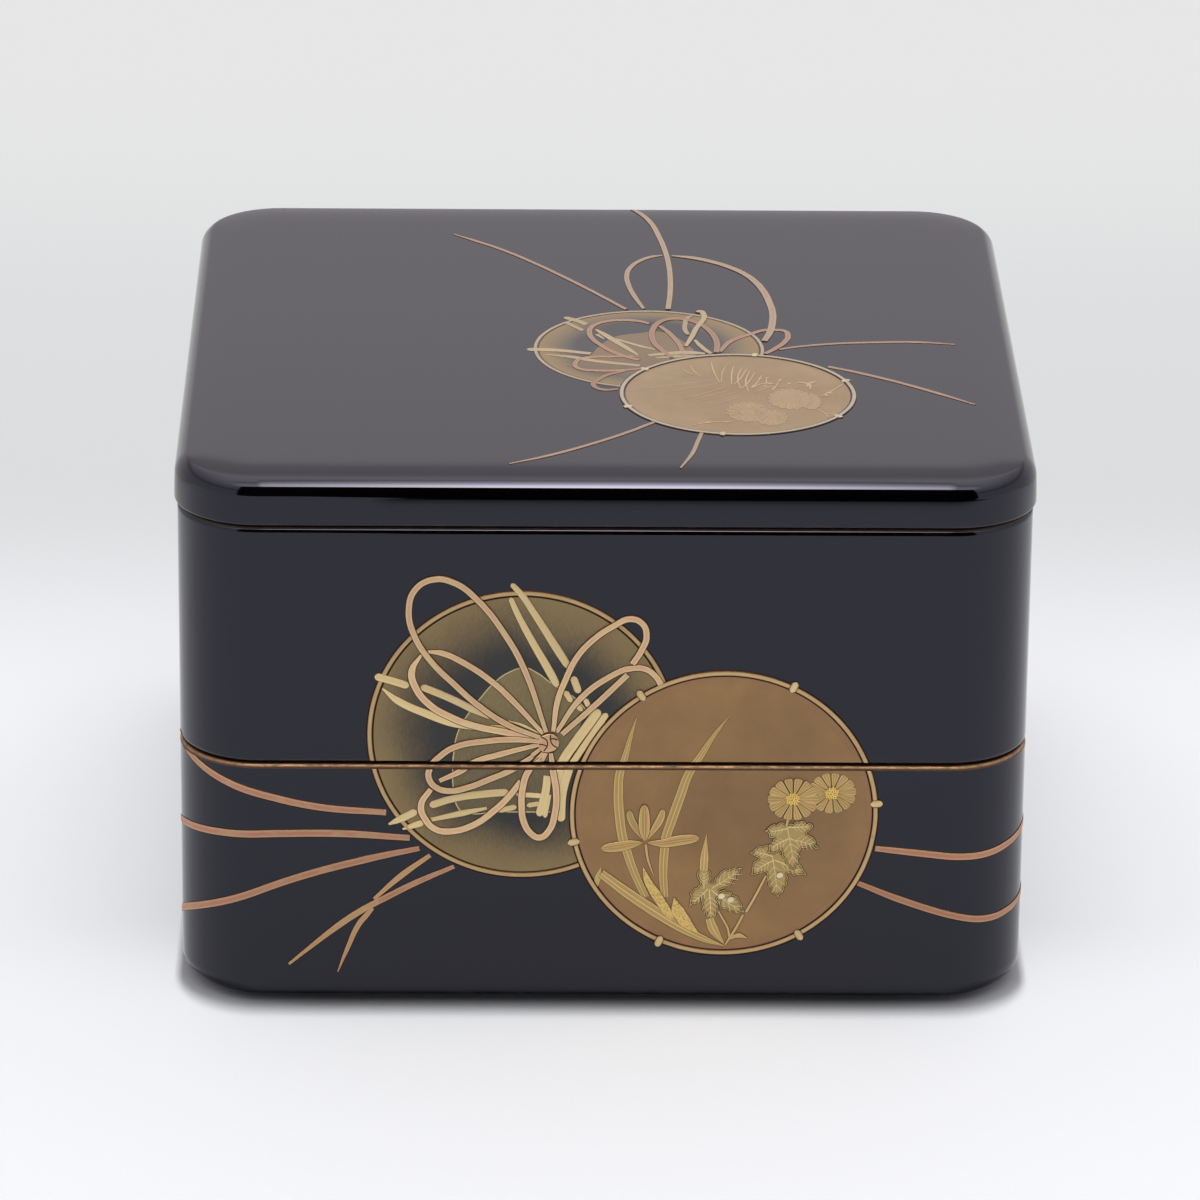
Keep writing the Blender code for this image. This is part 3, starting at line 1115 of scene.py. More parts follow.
def smoothLine(points):
    # a rounder run of points through the given ones
    line = []
    for index in range(len(points) - 1):
        before = points[max(index - 1, 0)]
        after = points[min(index + 2, len(points) - 1)]
        around = list(zip(before, points[index], points[index + 1], after))
        for part in range(relief["smoothSteps"]):
            t = part / relief["smoothSteps"]
            line.append(tuple(bentThrough(t, *four) for four in around))
    return line + [points[-1]]


def splitPlate(name, outline, look, proud):
    # one plate for each tier; the upper one follows the round foot of its wall in three bands
    foot = upperLow.z / mm + tierSet["foot"] + edgeSet["upper"]["baseRound"]
    bands = [between(outline, foot, 200)]
    bands += [between(outline, foot - 0.3, foot), between(outline, relief["joint"], foot - 0.3)]
    skinPlate("upper" + name, [band for band in bands if len(band) > 2], look, False, proud, False)
    skinPlate("lower" + name, [between(outline, 0, relief["rimLine"])], look, False, proud)


# each gold: body of a stroke, its middle, its edges, the brown line beside it; then any veins and how many,
# how metallic it is, and any specks
goldTones = {
    "cord_gold": ((231, 199, 150), (220, 176, 138), (234, 203, 152), (80, 50, 30)),
    "knot_gold": ((216, 178, 137), (208, 166, 129), (222, 186, 140), (62, 38, 24)),
    "fork_gold": ((200, 160, 114), (194, 150, 107), (203, 166, 118), (62, 38, 22)),
    "tail_gold": ((196, 152, 117), (184, 128, 101), (198, 156, 114), (62, 38, 24)),
    "strap_gold": ((237, 213, 156), (232, 203, 146), (228, 199, 142), (66, 46, 26)),
    "ring_gold": ((198, 166, 117), (206, 176, 126), (160, 122, 82), (56, 35, 20)),
    "peg_gold": ((225, 195, 140), (231, 202, 149), (202, 168, 115), (76, 54, 32)),
    # the blades, orchid and petals have light edges: painted highlight
    "blade_gold": ((201, 166, 103), (191, 155, 92), (227, 197, 131), (84, 58, 30), (235, 210, 137), 1),
    "leaf_gold": ((201, 173, 108), (192, 163, 99), (204, 174, 107), (78, 52, 28)),
    "vein_gold": ((237, 213, 158), (237, 213, 158), (230, 204, 150)),
    "leaf_line": ((216, 189, 130), (216, 189, 130), (208, 181, 122), (66, 42, 22)),
    "orchid_gold": ((192, 156, 94), (182, 146, 86), (234, 201, 138), (72, 46, 24), (224, 191, 130), 3),
    "petal_gold": ((196, 162, 102), (188, 152, 93), (230, 197, 133), (70, 44, 22), (216, 183, 120), 1),
    "stamen_gold": ((237, 200, 104), (245, 212, 118), (221, 180, 95), (150, 110, 52)),
    "fleck_gold": ((230, 195, 112), (236, 201, 117), (240, 211, 154), (112, 80, 46), None, 1, 0.45,
                   (186, 142, 62)),
    "stem_gold": ((220, 184, 126), (214, 178, 120), (208, 172, 114), (74, 48, 26)),
    "dew_gold": ((255, 240, 196), (255, 246, 208), (250, 226, 170), (100, 72, 40), None, 1, 0.1),
    "line_brown": ((66, 42, 26), (66, 42, 26), (66, 42, 26), (66, 40, 20), None, 1, 1.0),
    "lobe_line": ((214, 190, 136), (216, 192, 138), (206, 182, 128)),
}
golds = {name: goldLook(name, *tones) for name, tones in goldTones.items()}
fieldTones = ((143, 110, 73), (159, 124, 79), (151, 117, 75), (150, 106, 70), (162, 122, 90))
flowerSkin = powderedLook("flower_drum_gold", drums["flower"], "wall", fieldTones, 0.988)
cordSkin = sprinkledLook("cord_drum_dust", drums["cord"], "wall", (150, 127, 84), 0.986, 0.58, 1.06)
lobeSkin = sprinkledLook("lobe_dust", drums["cord"], "wall", (154, 134, 88), 3.0, evenly=(-52.0, 20.0))
print("finishes of the front drawing made")


def onRing(drum, angle, reach):
    turn = radians(angle)
    x, y = drum["centre"]
    return x + reach * cos(turn), y + reach * sin(turn)


def pegsRound(drum, pegSet):
    # the pegs that stand across the ring of a drum, at the angles given
    pegs = []
    for angle in pegSet["pegs"]:
        x, y = onRing(drum, angle, drum["radius"] + pegSet["pegOut"])
        pegs.append(dot(x, y, pegSet["pegLong"], pegSet["pegHalf"], angle))
    return pegs


drumSet = {
    "pegs": (4.4, 63.8, 123.3, 191.7, 245.6, 300.4), "pegLong": 2.7, "pegHalf": 0.80, "pegOut": 0.8,
    "ringLine": 0.28, "ringPast": 0.8,
}


def addDrums():
    outline, toFront, opening = lensOutline(drums["cord"], drums["flower"])
    splitPlate("FlowerDrumSkin", circleOutline(drums["flower"]), flowerSkin, 0.05)
    splitPlate("CordDrumSkin", outline, cordSkin, 0.04)
    start = toFront + opening - drumSet["ringPast"]
    back = ringArc(drums["cord"], start, 2 * toFront + 360 - start, relief["ring"])
    front = ringArc(drums["flower"], -10, 352, relief["ring"])
    layStrokes("CordDrumRing", [back], "ring_gold", 2, line=drumSet["ringLine"])
    layStrokes("FlowerDrumRing", [front], "ring_gold", 3, 1, line=drumSet["ringLine"])
    pegs = pegsRound(drums["flower"], drumSet)
    layStrokes("DrumPegs", pegs, "peg_gold", 4, 2)


# the bright edge of the veil, from the front drum round to the straps
lobeHalf = 0.13
lobeEdge = [
    (-12.3, 47.9), (-23.8, 47.9), (-32.4, 48.0), (-33.6, 49.4), (-34.3, 52.5), (-34.6, 58.2),
    (-34.3, 62.9), (-33.4, 67.6), (-31.4, 71.6), (-28.7, 75.5), (-25, 80), (-21.8, 82.4), (-18.2, 83.5),
    (-15.5, 82.3), (-12.3, 79.8), (-6.8, 76.1), (-4.2, 73.2),
]


def addLobe():
    # a thinner veil of gold behind the knot, with a fine bright edge
    edge = smoothLine(lobeEdge)
    outline = edge + [(-6.5, 66.5), (-9.2, 60.0), (-10.6, 53.0), (-10.9, 47.9)]
    splitPlate("Lobe", outline, lobeSkin, 0.05)
    layStrokes("LobeEdge", [[(x, y, lobeHalf) for x, y in lobeEdge]], "lobe_line", 12, line=0.0, step=0.6)


cordSet = {"half": 0.68, "thin": 0.49}


def addCordLoops():
    # from the knot out round each loop and back; a cord that goes under another stops short of it
    half = cordSet["half"]
    thin = cordSet["thin"]
    under = [
        cordLine(thin, half, 0.35, (-14, 67.4), (-21.5, 76), (-25, 79.5), (-32.5, 84.9), (-37, 87),
                 (-40.3, 87.4)),
        cordLine(0.3, 0.8, thin, (-41.8, 86.6), (-43.9, 82.6), (-43.2, 78.9), (-39.8, 74.3), (-34.8, 71.2),
                 (-31, 69.6), (-22.2, 67.6), (-15, 66.2)),
        cordLine(thin, half, half, (-10.9, 67.8), (-5.6, 76), (1, 81.4), (5.5, 83.4), (9.2, 83.3),
                 (11.6, 81.4), (12.7, 79.6)),
        cordLine(thin, 0.7, thin, (-14.8, 64.7), (-23.8, 62.2), (-29.5, 60.3), (-32.8, 58.0),
                 (-37.6, 55.6)),
        cordLine(0.6, 0.75, 0.65, (-39.6, 53.5), (-41.8, 49.5), (-40.7, 45.8), (-38.4, 43.5), (-35.3, 43),
                 (-29.9, 44.6), (-24.7, 48.6), (-21.7, 51.8), (-19, 55.6)),
        cordLine(0.42, 0.45, 0.5, (-13.8, 62.8), (-15.9, 60.2)),
        cordLine(0.42, 0.5, 0.5, (-14.6, 63.6), (-18.3, 60.5)),
        cordLine(0.38, 0.4, 0.42, (-13.2, 62.6), (-14.4, 60.2)),
    ]
    over = [
        cordLine(thin, half, thin, (-13.3, 67.8), (-18.5, 83.5), (-22.5, 91.2), (-29, 100), (-34.3, 104.2),
                 (-39, 105), (-43, 102.7), (-44.6, 97.5), (-43.2, 91), (-39.5, 85), (-34, 79.2),
                 (-29.5, 74.9), (-22.3, 69.7), (-14.6, 66.4)),
        cordLine(thin, half, half, (-11.7, 68), (-10.7, 75.8), (-9.1, 80.4), (-6.5, 86.1), (-3.2, 90.1),
                 (2, 94), (5.5, 95.6), (8.2, 94.6), (9.3, 91.5), (8.2, 88), (6.2, 84.6)),
        cordLine(half, half, 0.6, (5.1, 82), (1.9, 78.7), (-1.5, 75.2), (-9.7, 67.3)),
        cordLine(thin, 0.7, thin, (-14.8, 65.5), (-21, 65.9), (-26.6, 65.5), (-34.3, 63.9), (-37.6, 61.6),
                 (-39.8, 58.8), (-39.9, 55.9), (-37.9, 53.7), (-35.2, 53.1), (-31.1, 54), (-26.3, 56),
                 (-21.3, 58.3), (-18.4, 60.2), (-16.4, 61.8)),
        cordLine(0.5, 0.74, 0.45, (-14.6, 61), (-17.2, 58.3), (-18.6, 53.8), (-18.8, 49.3), (-18.3, 45.6),
                 (-16.6, 42.6), (-14.6, 41.6), (-12.5, 43.4), (-11.2, 47.6), (-10.9, 52.6), (-11.7, 58.3),
                 (-12.2, 62.6)),
    ]
    layStrokes("CordsUnder", under, "cord_gold", 5, 1)
    layStrokes("CordsOver", over, "cord_gold", 15, 2)


def addTails():
    # the loose ends run out past the drums and round the corners of the box
    tails = [
        cordLine(0.7, 0.82, 0.8, (-49.8, 47.6), (-65.8, 49), (-79.5, 52.3), (-90, 55.6), (-100, 58.9),
                 (-106, 60.5)),
        cordLine(0.7, 0.85, 0.15, (-44.4, 41.3), (-59.9, 42.3), (-71.8, 42.3), (-83.6, 41.9), (-93.1, 41.1),
                 (-103, 39.6), (-112, 37.5)),
        cordLine(0.6, 0.85, 0.15, (-42.2, 38.7), (-54, 36), (-71.9, 30.7), (-86, 25.0), (-104, 17.3),
                 (-113, 12.8)),
        cordLine(0.65, 0.8, 0.12, (62.4, 39.1), (72, 38), (81.5, 37), (88.5, 36.8), (96, 37.6), (104, 38.8),
                 (116, 40.5)),
        cordLine(0.6, 0.8, 0.12, (58.4, 30.5), (68.4, 26.3), (80.5, 22.3), (89.1, 20.4), (97, 20.6),
                 (105, 21.6), (115, 23.5)),
    ]
    tails.append(cordLine(0.5, 0.72, 0.74, (-34.2, 34.2), (-43.2, 30.0), (-51.6, 25.4)))
    layStrokes("CordTails", tails, "tail_gold", 6)
    fork = [
        cordLine(0.72, 0.76, 0.32, (-50.8, 25.9), (-55.8, 22.9), (-60, 19.9), (-72.3, 9.5)),
        cordLine(0.5, 0.72, 0.4, (-39.7, 37), (-46.2, 32), (-52.6, 26)),
        [(-52.9, 23.7, 0.45), (-54.6, 21.6, 0.66), (-56, 19.8, 0.66), (-58.8, 13.4, 0.50),
         (-61, 7.6, 0.14)],
    ]
    layStrokes("ForkedTail", fork, "fork_gold", 32)


knotSet = {"centre": (-12.8, 65.1), "bandHalf": 0.13}


def addKnot():
    x, y = knotSet["centre"]
    layStrokes("Knot", [dot(x, y, 4.7, 2.2, 20)], "knot_gold", 7, 2, line=0.26, step=0.2)
    bands = [
        [(x - 1.6, y + 1.6), (x - 0.4, y + 0.8), (x - 0.2, y - 0.4), (x - 1.0, y - 1.9)],
        [(x + 0.5, y + 2.1), (x + 0.5, y + 0.9), (x + 1.0, y - 0.3), (x + 2.0, y - 1.0)],
        [(x - 2.1, y - 0.2), (x - 1.2, y - 0.3), (x - 0.3, y - 0.6)],
        [(x + 0.4, y + 1.1), (x + 1.2, y + 1.2), (x + 2.0, y + 0.9)],
    ]
    strokes = [[(px, py, knotSet["bandHalf"]) for px, py in band] for band in bands]
    layStrokes("KnotBands", strokes, "line_brown", 8, 4.6, line=0.0, step=0.2)


def addStraps():
    # pale straps that lace the drum, broken where a cord crosses them
    straps = [
        rounded(0.9, (-52.3, 81.3), (-48.5, 80.2), (-44.6, 78.9)),
        rounded(0.86, (-41.8, 78.8), (-36, 76.3), (-30.2, 73.3), ends="first") + [(-26.4, 71, 0.15)],
        [(-50.6, 78.3, 0.25), (-47.1, 75.3, 0.86), (-39.6, 71.7, 0.95), (-35, 69.8, 0.80),
         (-29.4, 68.2, 0.12)],
        [(-21.9, 70.5, 0.12), (-18.5, 69.3, 0.36), (-14.8, 67.3, 0.2)],
        [(-26, 69.3, 0.12), (-23.5, 69, 0.34), (-20.6, 68.2, 0.12)],
        rounded(0.60, (-21.4, 104), (-19.0, 101.2), ends="first")[:-1] + [
            (-19.0, 101.2, 0.74), (-16.2, 96.8, 0.82), (-10.6, 87.5, 0.94), (-8.8, 84.5, 0.86),
            (-8.3, 83.6, 0.5)],
        rounded(0.84, (-7.3, 81.4), (-5.9, 77.4)),
        rounded(0.62, (-4.5, 76), (-3.6, 73.9)),
        rounded(0.60, (-21.6, 100.6), (-20.4, 97.6), ends="first")[:-1] + [
            (-20.4, 97.6, 0.70), (-16.9, 90.5, 0.84), (-12.4, 82.2, 0.94), (-11.2, 79.8, 0.86),
            (-10.8, 79, 0.5)],
        rounded(0.68, (-9.1, 77.8), (-7.6, 75.2)),
        rounded(0.60, (-6.5, 74.5), (-5.1, 73.0)),
        [(-49.2, 44.7, 0.25), (-47.6, 45.5, 0.66)]
        + rounded(0.92, (-45.8, 46.4), (-42.8, 48.0), ends="last"),
        rounded(0.90, (-39.8, 49.4), (-34.3, 51.2), (-26.5, 52.4), (-21.8, 52.8)),
        rounded(0.60, (-20, 52.3), (-14.0, 51.9)),
        [(-46.0, 43.5, 0.22), (-44.4, 44.1, 0.58)]
        + rounded(0.80, (-43.0, 44.6), (-41.2, 45.2), ends="last"),
        [(-39.4, 45.9, 0.5), (-32.5, 47.5, 0.76), (-26.8, 48.8, 0.35)],
        rounded(0.66, (-24, 48.2), (-20.0, 49.2)),
        rounded(0.58, (-17.6, 49.5), (-14.6, 50)),
    ]
    layStrokes("Straps", straps, "strap_gold", 9, line=0.12)
    # broad flat straps side by side beside the flower drum
    broad = [
        rounded(1.12, (-1.3, 73.3), (-3.7, 69.6), (-6.9, 64.8), (-9.5, 60.4),
                ends="first") + [(-10.4, 57.0, 0.9), (-10.9, 52.2, 0.3)],
        rounded(0.95, (-12.9, 56.9), (-13.3, 53.3), (-14.8, 46.9), ends="last"),
        rounded(0.52, (-12.5, 52.2), (-12.9, 49.8), (-13.5, 46.5), ends="last"),
        rounded(1.0, (-7.9, 59.2), (-9.5, 52.6), (-9.8, 45.6), ends="last"),
    ]
    layStrokes("BroadStraps", broad, "strap_gold", 10, line=0.14)
    second = [rounded(0.76, (0.5, 72.4), (-1.9, 68.6), (-4.7, 64.2), (-7.3, 60.0), ends="first")]
    layStrokes("SecondStrap", second, "strap_gold", 11, line=0.14)


addDrums()
addLobe()
addStraps()
addCordLoops()
addTails()
addKnot()
print("front drums, cords and straps laid")


def alongCurve(base, tip, bend, steps):
    # a gently bent line between two points; bend is the sideways bulge as a share of its length
    (x0, y0), (x1, y1) = base, tip
    midX = (x0 + x1) / 2 - (y1 - y0) * bend
    midY = (y0 + y1) / 2 + (x1 - x0) * bend
    points = []
    for index in range(steps + 1):
        t = index / steps
        a, b, c = (1 - t) ** 2, 2 * t * (1 - t), t * t
        points.append((a * x0 + b * midX + c * x1, a * y0 + b * midY + c * y1))
    return points


def sideways(points, index):
    before = points[max(index - 1, 0)]
    after = points[min(index + 1, len(points) - 1)]
    dx, dy = after[0] - before[0], after[1] - before[1]
    length = hypot(dx, dy)
    return -dy / length, dx / length


leafSet = {"bite": 0.34, "shortest": 1.4, "vein": 0.13, "sideVein": 0.075, "edge": 0.10}


def toothed(outline):
    # small pointed teeth: each given point is a tip, and the edge dips in between two of them
    cx = sum(x for x, y in outline) / len(outline)
    cy = sum(y for x, y in outline) / len(outline)
    edge = []
    for index, (x, y) in enumerate(outline):
        nextX, nextY = outline[(index + 1) % len(outline)]
        edge.append((x, y))
        dx, dy = nextX - x, nextY - y
        length = hypot(dx, dy)
        if length < leafSet["shortest"]:
            continue
        bite = min(leafSet["bite"], 0.26 * length)
        nx, ny = -dy / length, dx / length
        if (cx - x) * nx + (cy - y) * ny < 0:
            nx, ny = -nx, -ny
        edge.append((x + dx * 0.45 + nx * bite * 0.3, y + dy * 0.45 + ny * bite * 0.3))
        edge.append((x + dx * 0.82 + nx * bite, y + dy * 0.82 + ny * bite))
    return edge


def leafVeins(base, tip, half, bend):
    # the rib of one lobe and the pairs of side veins that leave it
    line = alongCurve(base, tip, bend, 24)
    veins = [pointed(leafSet["vein"], 1.0, 0.0, 0.3, line[0], line[8], line[16], line[22])]
    for share in (0.24, 0.42, 0.60, 0.76):
        index = round(share * 24)
        x, y = line[index]
        ahead = line[min(index + 5, 24)]
        nx, ny = sideways(line, index)
        reach = half * sin(pi * share ** 0.8) * 1.05
        for sign in (1, -1):
            end = (ahead[0] + sign * nx * reach, ahead[1] + sign * ny * reach)
            middle = (x * 0.45 + end[0] * 0.55 + nx * sign * 0.06,
                      y * 0.45 + end[1] * 0.55 + ny * sign * 0.06)
            veins.append(pointed(leafSet["sideVein"], 1.0, 0.0, 0.4, (x, y), middle, end))
    return veins


upperLeaf = [
    (41.9, 44.8), (40.7, 45.5), (39.2, 45.0), (38.2, 44.5), (37.1, 43.6), (37.9, 43.0), (38.2, 41.9),
    (39.4, 41.6), (38.2, 40.1), (37.7, 38.1), (39.1, 37.8), (40.7, 39.2), (41.0, 37.6), (41.9, 35.8),
    (42.8, 34.8), (43.8, 33.9), (44.6, 35.2), (45.0, 36.8), (44.9, 38.3), (45.4, 39.3), (46.4, 39.3),
    (47.6, 39.8), (49.3, 39.2), (48.6, 40.5), (48.1, 41.6), (47.1, 42.3), (46.4, 42.8), (47.1, 43.6),
    (47.9, 44.6), (47.3, 45.3), (46.4, 45.1), (45.8, 45.9), (44.4, 45.8), (43.0, 45.2),
]
middleLeaf = [
    (38.2, 39.1), (37.7, 39.8), (36.2, 39.6), (35.1, 39.0), (33.8, 38.1), (34.8, 37.2), (35.8, 36.6),
    (35.7, 36.2), (34.6, 35.5), (34.4, 34.2), (34.0, 32.6), (35.3, 32.7), (36.6, 33.1), (37.7, 33.0),
    (37.7, 31.8), (38.0, 30.3), (38.8, 28.3), (40.1, 26.8), (41.1, 27.9), (42.1, 29.8), (42.4, 31.5),
    (42.0, 32.7), (43.0, 33.0), (44.4, 32.5), (46.4, 32.3), (45.9, 33.6), (45.3, 34.7), (44.2, 35.5),
    (43.0, 36.3), (41.9, 37.2), (40.7, 38.1), (39.4, 38.8),
]
lowLeaf = [
    (24.3, 30.3), (24.6, 31.8), (24.3, 33.2), (23.6, 34.0), (22.5, 33.7), (21.7, 32.6), (22.0, 31.3),
    (22.5, 30.0), (21.2, 29.0), (20.1, 27.8), (20.3, 26.4), (19.8, 24.5), (21.2, 25.0), (22.2, 26.0),
    (22.7, 27.1), (22.9, 25.5), (22.9, 24.0), (23.9, 22.3), (25.0, 20.4), (25.8, 21.8), (26.5, 23.5),
    (26.6, 25.3), (26.3, 26.8), (26.9, 25.5), (27.4, 24.0), (28.9, 23.4), (30.5, 22.9), (32.5, 22.9),
    (32.0, 24.5), (31.2, 26.5), (29.6, 27.9), (28.1, 28.4), (26.6, 28.5), (27.6, 29.0), (29.0, 29.8),
    (30.3, 31.2), (30.9, 32.5), (31.9, 34.0), (30.1, 34.0), (28.5, 33.6), (27.2, 33.1), (26.0, 31.8),
    (25.2, 30.3),
]


def addLeaves():
    # the upper leaf lies over the other two
    groups = (("Low", (middleLeaf, lowLeaf), 0.060, 0.05, 0.35), ("High", (upperLeaf,), 0.16, 0.9, 1.2))
    upperVeins, lowerVeins = leafLobes()
    for name, shapes, proud, edgeLevel, veinLevel in groups:
        leaves = [toothed(shape) for shape in shapes]
        skinPlate(name + "Leaves", leaves, golds["leaf_gold"], False, proud)
        edges = [[(x, y, leafSet["edge"]) for x, y in leaf + leaf[:1]] for leaf in leaves]
        layStrokes(name + "LeafEdges", edges, "leaf_line", 19, edgeLevel, line=0.16, step=fineStep)
        veins = upperVeins if name == "High" else lowerVeins
        layStrokes(name + "LeafVeins", veins, "vein_gold", 20, veinLevel, line=0.0, step=fineStep)
    spear = [
        pointed(1.05, 0.85, 0.3, 0.06, (23.1, 33.4), (23.2, 36.4), (23.6, 42.6)),
        pointed(1.25, 0.75, 0.3, 0.1, (24.6, 21.4), (25.6, 18.6), (28.2, 14.8)),
    ]
    layStrokes("SpearLeaves", spear, "blade_gold", 21, line=fineLine)


def leafLobes():
    # the ribs of the upper leaf, then those of the other two
    upper = [
        ((42.1, 44.1), (37.8, 43.3), 1.1, 0.08), ((42.2, 44.4), (47.5, 44.7), 1.2, -0.06),
        ((42.6, 41.6), (38.2, 38.8), 1.5, -0.08), ((42.7, 41.4), (48.6, 39.7), 1.7, 0.06),
        ((42.1, 44.3), (43.8, 34.7), 2.0, 0.02),
    ]
    lower = [
        ((39.0, 37.0), (34.4, 38.1), 1.1, -0.06), ((39.4, 36.1), (45.7, 32.8), 1.5, 0.05),
        ((39.2, 36.1), (34.6, 33.2), 1.5, -0.06), ((38.9, 36.8), (40.1, 27.6), 2.0, 0.02),
        ((23.2, 28.9), (23.2, 33.3), 1.0, 0.0), ((25.0, 29.0), (31.4, 33.7), 1.9, -0.04),
        ((24.9, 28.6), (32.0, 23.3), 1.9, -0.05), ((24.2, 28.9), (20.3, 25.1), 1.2, 0.05),
        ((24.5, 28.7), (25.0, 21.2), 1.7, 0.0),
    ]
    return [[vein for lobe in lobes for vein in leafVeins(*lobe)] for lobes in (upper, lower)]


def addStems():
    stems = [
        cordLine(0.32, 0.32, 0.30, (42.2, 46.2), (41.9, 44.6)),
        cordLine(0.26, 0.30, 0.34, (37.4, 32.2), (35.2, 27.4), (33, 23.1)),
        cordLine(0.30, 0.32, 0.22, (32.3, 22.4), (31, 19.6), (29.4, 16.7), (28.3, 14.8)),
        cordLine(0.22, 0.26, 0.30, (26.6, 23.3), (27.9, 20.9), (28.9, 18.8), (29.2, 16.9)),
        pointed(0.66, 0.35, 0.5, 0.2, (29.3, 16.3), (31.4, 17.2), (33.3, 16.5)),
        cordLine(0.30, 0.30, 0.12, (9.7, 40), (10.2, 36.4), (11.6, 32.1)),
    ]
    layStrokes("Stems", stems, "stem_gold", 22, 1.0, line=fineLine)
    dew = [dot(x, y, 1.5, 0.70, 20) for x, y in ((40.6, 32.4), (27.3, 27.1), (29.4, 26.2))]
    layStrokes("DewDots", dew, "dew_gold", 23, 2, line=0.06, step=0.2)


# shape: how far out along a petal, and how much of its room it fills there
bloomSet = {
    "petals": 14, "eye": 1.15, "gap": 0.075, "stamens": 34, "eyeWide": 1.6, "stamenTurn": 137.5,
    "shape": ((0.45, 1.0), (0.65, 1.0), (0.80, 1.0), (0.90, 0.98), (0.96, 0.86), (1.0, 0.50)),
}


def bloom(centre, wide, tall, turn=0.0):
    # petals round an eye, as wide as the gap to the next one lets them be
    cx, cy = centre
    petals = []
    for index in range(bloomSet["petals"]):
        angle = radians(turn + 360 * index / bloomSet["petals"])
        reach = hypot(wide * cos(angle), tall * sin(angle))
        line = []
        shape = ((bloomSet["eye"] / reach, 1.0), *bloomSet["shape"])
        for share, full in shape:
            half = (pi * reach * share / bloomSet["petals"] - bloomSet["gap"]) * full
            line.append((cx + wide * share * cos(angle), cy + tall * share * sin(angle), half))
        petals.append(line)
    return petals


def stamens(centre):
    # a round cluster of tiny dots, evenly spread
    dots = []
    for index in range(bloomSet["stamens"]):
        reach = bloomSet["eyeWide"] * sqrt((index + 0.5) / bloomSet["stamens"])
        angle = index * radians(bloomSet["stamenTurn"])
        x = centre[0] + reach * cos(angle)
        y = centre[1] + reach * sin(angle) * 0.92
        dots.append(dot(x, y, 0.52, 0.24, degrees(angle)))
    return dots


def addBlooms():
    near = (43.3, 51.4)
    back = (52.2, 52.9)
    layStrokes("BackBloom", bloom(back, 5.5, 5.0, 5), "petal_gold", 24, line=fineLine, step=fineStep)
    layStrokes("NearBloom", bloom(near, 5.8, 5.2), "petal_gold", 25, 1.4, line=fineLine, step=fineStep)
    layStrokes("Stamens", stamens(near) + stamens(back), "stamen_gold", 26, 2, line=0.04, step=0.15)


def petal(half, first, widest, *points):
    # narrow at its foot and round at its end
    line = smoothLine(points)
    count = len(line) - 1
    result = []
    for index, (x, y) in enumerate(line):
        share = index / count
        if share <= widest:
            width = first + (1 - first) * sin(share / widest * pi / 2)
        else:
            width = sqrt(1 - ((share - widest) / (1 - widest)) ** 2.4)
        result.append((x, y, half * max(width, 0.15)))
    return result


orchidSet = {"centre": (9.5, 40.4), "line": 0.11}


def addOrchid():
    x, y = orchidSet["centre"]
    blades = [
        pointed(1.12, 0.1, 0.5, 0.8, (7.3, 71.4), (5.9, 66.5), (4.6, 61), (3.6, 57.8), (3.3, 52.1),
                (3.6, 47.4), (4.4, 41.6), (5.5, 37.8), (7.1, 33), (9.8, 26.8)),
        pointed(1.12, 0.1, 0.5, 0.8, (28.3, 71.8), (25, 67.1), (21.8, 61.7), (19.5, 57.9), (17.4, 51.7),
                (15.3, 45), (14.4, 41.9), (14, 38.3), (13.8, 33), (14.2, 26.8)),
        pointed(0.75, 0.5, 0.5, 0.2, (-1.6, 29.2), (-1.2, 31.6), (-0.5, 34.1)),
    ]
    layStrokes("Blades", blades, "blade_gold", 27, line=fineLine)
    low = [pointed(1.35, 0.75, 0.4, 0.1, (-0.5, 32.7), (5.8, 27.7), (12.5, 22.9), (18.3, 19.1),
                   (23.6, 16.2), (28.2, 14.5))]
    layStrokes("LongLeaf", low, "blade_gold", 28, 1, line=fineLine)
    gold = [
        pointed(1.15, 0.1, 0.55, 0.45, (9.2, 34.2), (10.2, 31), (12.4, 27.2), (14.7, 23.4), (16.1, 21.1)),
        pointed(1.60, 0.10, 0.48, 0.15, (16.4, 26.6), (17.2, 23.6), (18.9, 20.8), (21.9, 17.8)),
    ]
    layStrokes("FleckedBlades", gold, "fleck_gold", 29, 2, line=fineLine)
    petals = [
        petal(0.86, 0.2, 0.60, (x - 0.3, y + 0.8), (7.6, 43.6), (6.3, 46.2), (5.8, 48.4)),
        petal(0.86, 0.2, 0.60, (x + 0.5, y + 0.8), (11.6, 43.8), (13.0, 46.4), (13.6, 48.7)),
        petal(1.22, 0.12, 0.60, (x - 0.6, y), (6.4, 40.0), (3.0, 39.3), (-0.5, 38.9)),
        petal(1.26, 0.12, 0.62, (x + 0.7, y), (13.6, 40.3), (17.4, 41.0), (21.9, 41.6)),
    ]
    layStrokes("OrchidPetals", petals, "orchid_gold", 30, 1, line=orchidSet["line"], step=fineStep)
    top = [petal(1.30, 0.2, 0.54, (x, y + 0.6), (x - 0.1, 43.2), (x - 0.2, 46.2), (x - 0.2, 49.9))]
    layStrokes("OrchidTop", top, "orchid_gold", 31, 2, line=orchidSet["line"], step=fineStep)


addOrchid()
addStems()
addLeaves()
addBlooms()
print("orchid and chrysanthemums laid")


